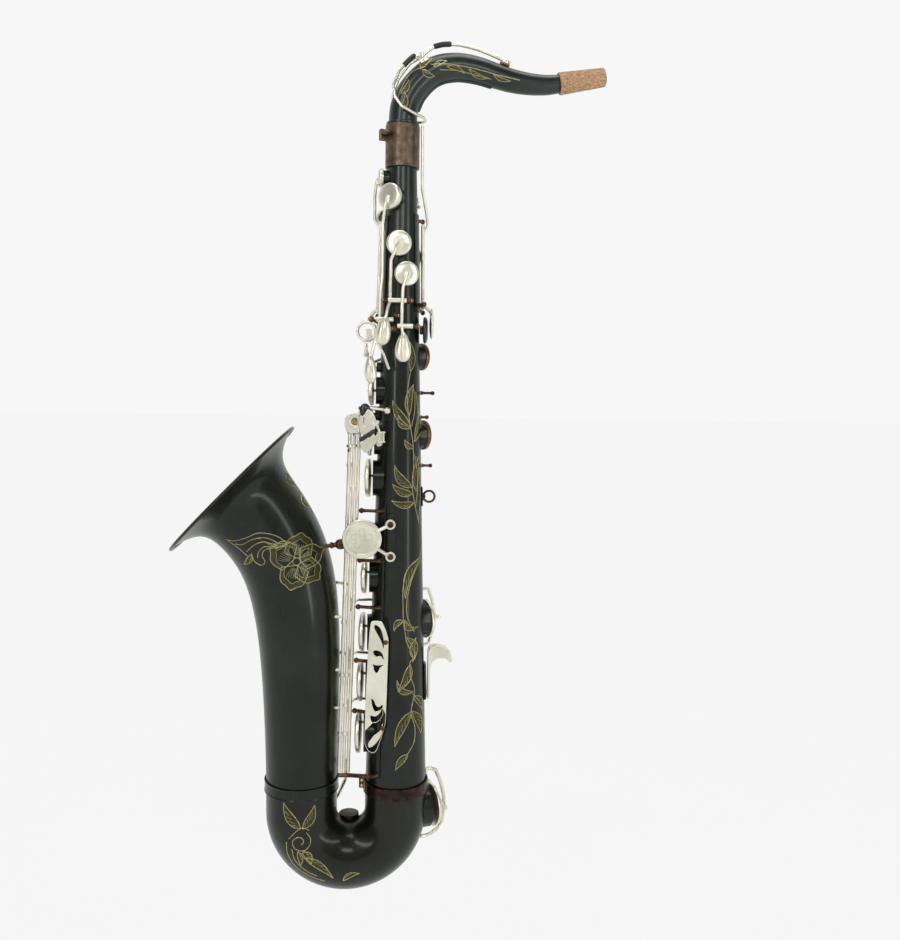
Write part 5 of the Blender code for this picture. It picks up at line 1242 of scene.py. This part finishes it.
def palm_details():
    """Teardrop touches, turned hinge tubes and brass-tipped posts of the palm keys."""
    touches = {"palm_f_key": ((-27.2, 117.0), 25.6, 10.6, -0.05), "palm_eb_key": ((-15.6, 151.0), 26.0,
            12.4, 0.12),
               "palm_d_key": ((1.5, 136.6), 26.4, 13.6, 0.02)}
    for node, ((dx, z), length, width, way) in touches.items():
        drop = teardrop(node + "_touch", front(dx, z, 13.5), (way, 0, 1), length, width)
        finish_piece(drop, node + "_body", SILVER, slot="key_silver")
    hinges = {"palm_f_key": (161.3, -22.6, -7.2), "palm_eb_key": (178.4, -12.2, 4.4),
            "palm_d_key": (155.8, -3.8, 10.4)}
    for node, (z, low, high) in hinges.items():
        tube = lathe(node + "_sleeve", rounded([(0, 0.0), (2.3, 0.0), (2.3, high - low),
                (0, high - low)], 0.3),
                     front(low, z, 7.0), (1, 0, 0), 32)
        finish_piece(tube, node + "_body", SILVER, slot="key_silver")
    balls = [((-26.8, 161.3), -1), ((-4.4, 165.0), 1), ((-15.1, 178.4), -1), ((7.3, 178.4), 1),
            ((-6.7, 153.2), -1), ((13.9, 155.8), 1)]
    made, heads, grooves = [], [], []
    for (dx, z), side in balls:
        at = front(dx, z, 7.0)
        made.append(sphere("palm_post_ball", at, 2.75))
        head, groove = rod_screw("palm_pivot", at + Vector((side * 2.0, -1.4, 0)), (side, -0.7, 0), 1.5)
        heads.append(head)
        grooves.append(groove)
    finish_piece(join("palm_post_balls", made), "body", BRONZE, slot="post_bronze")
    finish_piece(join("palm_pivot_screws", heads), "body", BRASS, slot="post_bronze")
    # The dark strips in the screw slots are painted shade of the grooves.
    finish_piece(join("palm_pivot_slot_shades", grooves), "body", RUBBER_AND_SLOT_SHADE, slot="post_bronze")


def turned_post(foot, tip, radius=1.5, knob=2.7):
    """Post with a waisted stem, a collar and a ball."""
    way = tip - foot
    length = way.length
    stem = rounded([(radius * 1.7, 0), (radius * 1.5, length * 0.12), (radius, length * 0.3),
            (radius, length * 0.8),
                    (radius * 1.25, length * 0.86), (radius * 0.9, length * 0.92), (0,
                            length * 0.95)], 0.4)
    return [lathe("post_stem", [(0, 0), *stem], foot, way, 28), sphere("post_ball", tip, knob)]


def posts():
    """Bronze posts of the low rods, and the short ones on the player's side."""
    made = []
    for z in ROD_POSTS:
        tip = along(low_rod(2), z) + Vector((ROD_R + FIT + ROD_POST_R + 0.9, -0.4, 0))
        made += turned_post(on_tube(-40.0, z, 0.3), tip, 1.45, 2.5)
    for angle, z, reach in ((88.0, 96.4, 11.6), (90.0, 74.0, 6.0), (88.0, 29.0, 8.6)):
        made += turned_post(on_tube(angle, z, 0.2), on_tube(angle, z, reach), 1.2, 1.9)
    finish_piece(join("turned_posts", made), "body", BRONZE, slot="post_bronze")
    collars = []
    for number, z in ((0, -116.0), (0, -166.0), (1, -166.0), (0, -222.0), (1, -222.0), (1, -195.0),
            (0, 30.0), (1, 8.0)):
        collars.append((number, lathe("rod_ring", rounded([(0, 1.6), (2.35, 1.6), (2.35, -1.6),
                (0, -1.6)], 0.4),
                                      along(low_rod(number), z), (0.025, 0, 1), 28)))
    for number, node in ((0, "low_bb_key"), (1, "low_b_key")):
        own = [piece for n, piece in collars if n == number]
        finish_piece(join(node + "_rings", own), node + "_body", SILVER, slot="key_silver")


def neck_details():
    """Bumpers on the neck's octave key, and its pad and cup."""
    top = RECEIVER_TOP_Z
    arch = wire("octave_bumper", [beside(28.5, 0, top + 71.8), beside(35.0, 0, top + 73.6),
            beside(41.5, 0, top + 74.2)], 2.35, 20, 4)
    side = wire("octave_side_bumper", [beside(9.0, -5.2, top + 60.4), beside(5.2, -7.2, top + 56.6),
            beside(1.0, -9.2, top + 51.6)], 2.3, 20, 4)
    finish_piece(join("neck_octave_bumpers", [arch, side]), "neck_octave_key_body", RUBBER_AND_SLOT_SHADE,
            slot="thumb_black")
    pad_at = beside(92.2, 0, top + 60.0)
    down = Vector((-0.26, 0, -0.97))
    pad = lathe("neck_octave_pad", rounded([(0, 2.6), (4.4, 2.6), (4.6, 1.0), (0, 0.6)], 0.4), pad_at,
            down, 48)
    finish_piece(pad, "neck_octave_key_body", LEATHER, slot="thumb_black")
    cup = lathe("neck_octave_cup", rounded([(0, -3.0), (3.2, -2.7), (4.9, -1.2), (5.0, 1.2),
            (4.7, 1.3), (4.7, 0.9), (0, 0.9)], 0.4),
                pad_at, down, 48)
    finish_piece(cup, "neck_octave_key_body", SILVER, slot="key_silver")


# Engraving: lines that follow the skin as seen from the palm-key side

class Skin:
    """Round tube along a path in the XZ plane; gives points on its palm-key side."""

    def __init__(self, points, radii):
        self.points = points
        self.radii = radii

    def at(self, x, z, lift):
        best = None
        for i in range(len(self.points) - 1):
            low, high = self.points[i], self.points[i + 1]
            way = high - low
            share = max(0.0, min(1.0, ((x - low.x) * way.x + (z - low.z) * way.z) / way.length_squared))
            foot = low + way * share
            gap = math.hypot(x - foot.x, z - foot.z)
            if best is None or gap < best[0]:
                best = (gap, foot, straight(self.radii[i], self.radii[i + 1], share))
        gap, foot, radius = best
        gap = min(gap, radius * 0.995)
        depth = math.sqrt(radius * radius - gap * gap)
        away = Vector((x - foot.x, 0, z - foot.z))
        if away.length > gap:
            away *= gap / away.length
        out = Vector((away.x, -depth, away.z)).normalized()
        return foot + out * (radius + lift)


TUBE_SKIN = Skin([Vector((TUBE_X, 0, TUBE_BOTTOM_Z)), Vector((TUBE_X, 0, TUBE_TOP_Z))],
        [TUBE_BOTTOM_R, TUBE_TOP_R])
BELL_SKIN = Skin(BELL_POINTS, BELL_RADII)


def engraved_line(skin, places, width=0.42):
    """Brass line cut through the lacquer, along (x, z) places."""
    flat = smooth([Vector((x, 0, z)) for x, z in places], 5)
    path = [skin.at(p.x, p.z, 0.02) for p in flat]
    return wire("engraved_line", path, width, 6, 0)


def field(skin, left, right):
    """Tinted area between two engraved edges."""
    bm = bmesh.new()
    rows = []
    for a, b in zip(left, right):
        row = [skin.at(*(Vector(a).lerp(Vector(b), t)), 0.07) for t in (0.0, 0.25, 0.5, 0.75, 1.0)]
        rows.append([bm.verts.new(p * MM) for p in row])
    for low, high in zip(rows, rows[1:]):
        for i in range(4):
            bm.faces.new((low[i], low[i + 1], high[i + 1], high[i]))
    return from_bmesh("engraved_field", bm)


def leaf(skin, base, tip, bend, width, hatches=4):
    """Engraved leaf: two edges, a tinted field and hatched veins."""
    start, end = Vector(base), Vector(tip)
    way = end - start
    across = Vector((-way.y, way.x)).normalized()
    left, right, spine = [], [], []
    for i in range(13):
        t = i / 12
        middle = start + way * t + across * bend * 4 * t * (1 - t)
        half = width * math.sin(math.pi * t ** 0.8) * (1 - 0.15 * t)
        left.append(tuple(middle + across * half))
        right.append(tuple(middle - across * half))
        spine.append(middle)
    lines = [engraved_line(skin, left[::2]), engraved_line(skin, right[::2])]
    for k in range(hatches):
        i = 3 + k * 2
        if i < 12:
            side = Vector(left[i])
            lines.append(engraved_line(skin, [tuple(spine[i - 2]), tuple(spine[i - 1].lerp(side,
                    0.35)), tuple(spine[i].lerp(side, 0.75))], 0.2))
    return lines, [field(skin, left, right)]


def engrave(name, skin, stems, leaves, body="body"):
    """All the lines and fields of one engraved motif."""
    lines = [engraved_line(skin, places) for places in stems]
    fields = []
    for spec in leaves:
        made, filled = leaf(skin, *spec)
        lines += made
        fields += filled
    finish_piece(join(name + "_lines", lines), body, ENGRAVED, slot="body_black")
    if fields:
        finish_piece(join(name + "_fields", fields), body, ENGRAVED_FIELD, slot="body_black")


def off_axis(places):
    """(distance from the tube's axis, height) turned into (x, z)."""
    return [(TUBE_X + dx, z) for dx, z in places]


def tube_leaf(base, tip, bend, width, hatches=4):
    """Leaf on the body tube, placed from the tube's axis."""
    return (off_axis([base])[0], off_axis([tip])[0], bend, width, hatches)


def engraving():
    """Vines on the tube and neck, a flower with scrolls on the bell and leaves on the bow."""
    upper_vine = [
        off_axis([(18.6, -24.0), (14.0, -4.0), (11.8, 12.0), (12.8, 30.0), (12.0, 50.0), (9.4, 66.0),
                (6.6, 84.0), (6.2, 98.0), (9.2, 116.0)]),
        off_axis([(18.0, -20.0), (19.6, 0.0), (18.8, 20.0), (15.8, 38.0)]),
        off_axis([(15.0, -8.0), (16.8, 8.0), (16.0, 26.0), (13.6, 40.0)]),
        off_axis([(13.0, 52.0), (16.0, 64.0), (16.6, 78.0), (14.0, 97.0)]),
        off_axis([(10.6, 66.0), (13.2, 80.0), (13.0, 94.0), (10.8, 103.0)]),
    ]
    upper_leaves = [
        tube_leaf((9.0, 116.0), (8.6, 142.0), -1.6, 3.0), tube_leaf((9.2, 66.0), (-7.0, 89.0), 2.6,
                4.2, 5),
        tube_leaf((8.8, 64.0), (-1.6, 76.0), 3.2, 3.0), tube_leaf((12.4, 46.0), (4.4, 53.4), 1.8, 2.6),
        tube_leaf((13.8, 52.0), (16.6, 80.0), -2.4, 3.2, 5), tube_leaf((8.2, 76.0), (12.0, 104.0), 2.4,
                3.4, 5),
        tube_leaf((11.4, 10.0), (-4.6, 30.0), 3.4, 4.2, 5), tube_leaf((12.0, 4.0), (-6.2, 13.0), 2.8,
                3.6),
        tube_leaf((14.0, -4.0), (-7.0, -2.0), 3.0, 3.2), tube_leaf((15.4, 6.0), (18.6, 40.0), 2.2, 2.8,
                5),
    ]
    engrave("upper_vine", TUBE_SKIN, upper_vine, upper_leaves)
    lower_vine = [
        off_axis([(20.6, -28.0), (21.4, -42.0), (19.0, -56.0), (9.0, -64.0), (4.4, -80.0),
                (4.4, -98.0), (5.0, -114.0), (7.4, -128.0)]),
        off_axis([(20.0, -58.0), (13.4, -72.0), (8.4, -90.0), (8.2, -108.0), (15.0, -124.0)]),
        off_axis([(7.0, -127.0), (13.6, -138.0), (15.6, -148.0), (11.6, -152.0), (12.4, -166.0),
                (16.2, -179.0), (13.0, -199.0),
                  (16.8, -214.0), (16.0, -228.0), (10.0, -238.0)]),
        off_axis([(14.6, -182.0), (22.0, -194.0), (24.6, -208.0), (25.2, -224.0)]),
    ]
    lower_leaves = [
        tube_leaf((19.4, -56.0), (6.6, -92.0), -4.6, 3.6, 5), tube_leaf((5.2, -112.0), (-3.6, -122.0),
                -2.6, 2.6),
        tube_leaf((6.0, -112.0), (18.8, -120.0), -4.6, 2.6), tube_leaf((7.0, -128.0), (14.0, -152.0),
                4.6, 4.2, 5),
        tube_leaf((11.6, -154.0), (0.6, -178.0), 2.6, 4.0, 5), tube_leaf((14.8, -180.0),
                (-0.4, -168.0), 5.0, 2.8),
        tube_leaf((13.2, -198.0), (-1.8, -230.0), -2.2, 4.2, 5), tube_leaf((14.2, -198.0),
                (22.6, -222.0), 2.2, 3.2),
        tube_leaf((15.4, -184.0), (23.6, -200.0), 2.0, 3.0), tube_leaf((10.4, -238.0), (-1.0, -252.0),
                -1.4, 3.2),
        tube_leaf((16.0, -150.0), (17.0, -130.0), 3.0, 2.4),
    ]
    engrave("lower_vine", TUBE_SKIN, lower_vine, lower_leaves)
    bell_engraving()
    bow_engraving()
    neck_engraving()


def bell_engraving():
    """Five-petalled flower with hatched petals, and scrolls running to the rim."""
    middle = Vector((-119.6, -55.0))
    lines, fields = [], []
    petals = ((150, 25.0, 12.5), (82, 24.0, 11.5), (20, 22.5, 10.0), (-42, 25.0, 10.5),
            (-102, 24.5, 12.0))
    for turn, length, width in petals:
        turn = math.radians(turn)
        way, across = Vector((math.cos(turn), math.sin(turn))), Vector((-math.sin(turn),
                math.cos(turn)))
        outer, inner = [], []
        for i in range(17):
            t = i / 16
            swing = math.pi * (t - 0.5)
            ripple = 1.0 + 0.055 * math.cos(6 * swing)
            reach = length * (0.30 + 0.70 * math.cos(swing) ** 0.7 if abs(swing) < 1.5 else 0.30) * ripple
            side = width * math.sin(swing)
            far = middle + way * reach + across * side
            outer.append(tuple(far))
            inner.append(tuple(middle + way * (3.0 + (reach - 3.0) * 0.74) + across * side * 0.74))
        lines += [engraved_line(BELL_SKIN, outer[::2], 0.4), engraved_line(BELL_SKIN, inner[::2], 0.22)]
        fields.append(field(BELL_SKIN, outer, inner))
        lines.append(engraved_line(BELL_SKIN, [tuple(middle + way * 3.2), outer[0]], 0.4))
        lines.append(engraved_line(BELL_SKIN, [tuple(middle + way * 3.2), outer[-1]], 0.4))
        for k in range(-3, 4):
            near = middle + way * 6.0 + across * k * 0.8
            far = middle + way * length * 0.62 + across * k * width * 0.17
            lines.append(engraved_line(BELL_SKIN, [tuple(near), tuple(near.lerp(far,
                    0.5) + across * k * 0.15), tuple(far)], 0.17))
    ring = [tuple(middle + Vector((math.cos(a),
            math.sin(a))) * 3.3) for a in [2 * math.pi * i / 12 for i in range(13)]]
    lines.append(engraved_line(BELL_SKIN, ring, 0.4))
    finish_piece(join("bell_flower_lines", lines), "body", ENGRAVED, slot="body_black")
    finish_piece(join("bell_flower_fields", fields), "body", ENGRAVED_FIELD, slot="body_black")
    scrolls = [
        [(-128.0, -38.0), (-138.0, -31.0), (-152.0, -28.6), (-164.0, -33.4), (-174.0, -36.4),
                (-182.0, -35.8)],
        [(-134.0, -38.6), (-146.0, -33.0), (-158.0, -34.6), (-167.0, -39.6), (-174.0, -39.4)],
        [(-136.0, -40.0), (-148.0, -36.6), (-157.0, -40.0), (-163.4, -46.0)],
        [(-138.0, -41.6), (-147.6, -41.0), (-152.6, -46.0), (-153.6, -51.0)],
        [(-140.0, -42.4), (-146.8, -43.6), (-149.6, -49.0), (-147.0, -54.6), (-150.6, -58.0),
                (-156.6, -54.6), (-159.0, -48.0)],
        [(-180.0, -37.0), (-170.0, -44.0), (-163.0, -50.0), (-158.6, -48.6)],
        [(-138.0, -43.0), (-132.0, -40.0), (-125.0, -37.0)],
    ]
    leaves = [((-159.0, -48.4), (-167.0, -59.0), 1.4, 2.6, 3), ((-126.0, -38.0), (-146.0, -37.0), 2.4,
            1.6, 3),
              ((-132.0, 22.0), (-112.0, 9.0), -3.0, 4.0, 4), ((-117.0, 6.0), (-104.0, -13.0), -3.0,
                      3.2, 4)]
    engrave("bell_scroll", BELL_SKIN, scrolls, leaves)


def bow_engraving():
    """Leaves and a spiral on the bell side of the bow."""
    points = bow_path()
    half = (len(points) - 1) / 2
    radii = []
    for i in range(len(points)):
        share = i / half
        radii.append(straight(TUBE_BOTTOM_R, BOW_BOTTOM_R,
                share) if share <= 1 else straight(BOW_BOTTOM_R, BELL_BASE_R, share - 1))
    skin = Skin(points, radii)
    spiral = []
    for i in range(15):
        turn = math.radians(-60 + i * 34)
        reach = 2.2 + i * 0.62
        spiral.append((-116.6 + reach * math.cos(turn), -317.0 + reach * math.sin(turn)))
    stems = [spiral, [(-108.0, -306.0), (-114.0, -303.0), (-120.0, -306.4), (-126.6, -314.0)],
             [(-129.0, -318.0), (-128.0, -330.0), (-121.0, -343.0), (-108.0, -352.0), (-94.0, -357.0)],
             [(-124.0, -324.0), (-121.0, -336.0), (-111.0, -346.0), (-101.0, -351.0)]]
    leaves = [((-116.0, -304.0), (-131.6, -280.0), 2.4, 4.6, 4), ((-114.0, -304.0), (-103.4, -283.0),
            -2.4, 4.2, 4),
              ((-114.0, -326.0), (-106.0, -338.0), 2.0, 3.4, 4), ((-118.0, -326.0), (-116.0, -341.0),
                      1.0, 2.6, 3),
              ((-112.4, -332.0), (-86.0, -353.0), 2.2, 3.6, 5), ((-77.0, -356.0), (-62.0, -349.0), 2.4,
                      2.6, 3)]
    engrave("bow_leaves", skin, stems, leaves)


def neck_engraving():
    """Vine that climbs the neck's bend and runs along its top."""
    points = smooth(neck_points()[:-2], 4)
    radii, run, runs = [], 0.0, [0.0]
    for a, b in zip(points, points[1:]):
        run += (b - a).length
        runs.append(run)
    for distance in runs:
        share = max(0.0, distance - 31.0) / (runs[-1] - 31.0)
        radii.append(NECK_START_R - (NECK_START_R - NECK_END_R) * share ** 2)
    skin = Skin(points, radii)
    stems = [[(-29.0, 349.0), (-33.0, 358.0), (-29.0, 370.0), (-22.0, 381.0), (-12.0, 386.0)],
             [(-4.0, 388.0), (8.0, 389.0), (24.0, 388.0), (40.0, 385.6), (58.0, 381.6), (76.0, 378.6)],
             [(4.0, 384.0), (20.0, 384.6), (36.0, 381.8), (50.0, 379.0)]]
    leaves = [((-29.6, 348.0), (-27.0, 362.0), -1.8, 2.4, 3), ((-31.0, 362.0), (-24.0, 374.0), -2.0,
            2.4, 3),
              ((-14.0, 384.0), (-3.0, 394.0), 1.6, 2.6, 3), ((-12.0, 383.0), (-1.0, 378.6), -1.6, 2.6,
                      3),
              ((-2.0, 386.0), (10.0, 391.6), 1.4, 2.0, 3), ((10.0, 387.0), (26.0, 383.0), 1.6, 1.9, 4),
              ((30.0, 386.0), (48.0, 379.6), -1.6, 1.7, 4), ((52.0, 382.6), (68.0, 377.6), -1.4, 1.5,
                      3)]
    engrave("neck_vine", skin, stems, leaves, "neck")


# Studio

CAMERA_AT = Vector((-54.04, -860.0, 93.82))
CAMERA_AIM = Vector((19.39, 0.0, 24.91))
CAMERA_ROLL = 0.015581
LENS = 35.39


def camera():
    """Camera at the viewing angle of the product picture."""
    data = bpy.data.cameras.new("camera")
    data.sensor_width = 36.0
    data.lens = LENS
    data.clip_start = 0.01
    data.clip_end = 50.0
    made = bpy.data.objects.new("camera", data)
    bpy.context.scene.collection.objects.link(made)
    look = (CAMERA_AIM - CAMERA_AT).normalized()
    right = look.cross(Vector((0, 0, 1))).normalized()
    up = right.cross(look)
    turned_right = right * math.cos(CAMERA_ROLL) + up * math.sin(CAMERA_ROLL)
    turned_up = up * math.cos(CAMERA_ROLL) - right * math.sin(CAMERA_ROLL)
    turn = Matrix((turned_right, turned_up, -look)).transposed().to_4x4()
    made.matrix_world = Matrix.Translation(CAMERA_AT * MM) @ turn
    bpy.context.scene.camera = made


def area_light(name, at, aim, size, power, colour=(1.0, 1.0, 1.0)):
    """Soft rectangular light, at and aimed in metres."""
    data = bpy.data.lights.new(name, "AREA")
    data.shape = "RECTANGLE"
    data.size, data.size_y = size
    data.energy = power
    data.color = colour
    made = bpy.data.objects.new(name, data)
    bpy.context.scene.collection.objects.link(made)
    made.location = at
    made.rotation_euler = (Vector(aim) - Vector(at)).to_track_quat("-Z", "Y").to_euler()


def studio():
    """Pale floor, white surroundings behind, darker ones in front, and soft lights."""
    bm = bmesh.new()
    bmesh.ops.create_grid(bm, x_segments=2, y_segments=2, size=30.0)
    bmesh.ops.translate(bm, verts=bm.verts, vec=(0, 0, -0.62))
    floor = from_bmesh("floor", bm)
    paper = Nodes("floor_paper", 0.0, 0.9)
    paper.colour(paper.ramp(paper.noise(3.0, 2.0), 0.3, 0.7, (0.020, 0.020, 0.020),
            (0.024, 0.024, 0.024)))
    paper.shader.inputs["Emission Color"].default_value = (1.0, 1.0, 1.0, 1.0)
    paper.shader.inputs["Emission Strength"].default_value = 0.90
    paper.shader.inputs["Specular IOR Level"].default_value = 0.0
    floor.data.materials.append(paper.material)
    world = bpy.data.worlds.new("white")
    bpy.context.scene.world = world
    world.use_nodes = True
    tree = world.node_tree
    background = tree.nodes["Background"]
    where = tree.nodes.new("ShaderNodeTexCoord")
    apart = tree.nodes.new("ShaderNodeSeparateXYZ")
    tree.links.new(where.outputs["Generated"], apart.inputs["Vector"])
    ramp = tree.nodes.new("ShaderNodeMapRange")
    ramp.interpolation_type = "SMOOTHSTEP"
    ramp.inputs["From Min"].default_value = -0.35
    ramp.inputs["From Max"].default_value = 0.45
    ramp.inputs["To Min"].default_value = 0.20
    ramp.inputs["To Max"].default_value = 1.0
    tree.links.new(apart.outputs["Y"], ramp.inputs["Value"])
    tree.links.new(ramp.outputs["Result"], background.inputs["Strength"])
    background.inputs["Color"].default_value = (0.93, 0.93, 0.93, 1.0)
    area_light("key_light", (-0.75, -1.2, 0.7), (-0.05, 0, 0.0), (0.26, 1.5), 7.5)
    area_light("fill_light", (1.0, -1.0, 0.3), (-0.05, 0, 0), (0.20, 1.6), 5.0)
    area_light("front_light", (0.12, -1.6, 0.75), (-0.05, 0, 0), (0.5, 0.35), 3.4)
    area_light("top_light", (0.0, -0.1, 1.4), (-0.05, 0, 0), (1.0, 0.5), 6.0)
    bpy.context.scene.view_settings.view_transform = "Standard"


body_tube()
bottom_bow()
bell()
rings_on_bow()
neck_tube()
receiver()
keywork()
cups()
pearls()
clothes_guard()
brace()
table()
palm_details()
posts()
neck_details()
engraving()
camera()
studio()
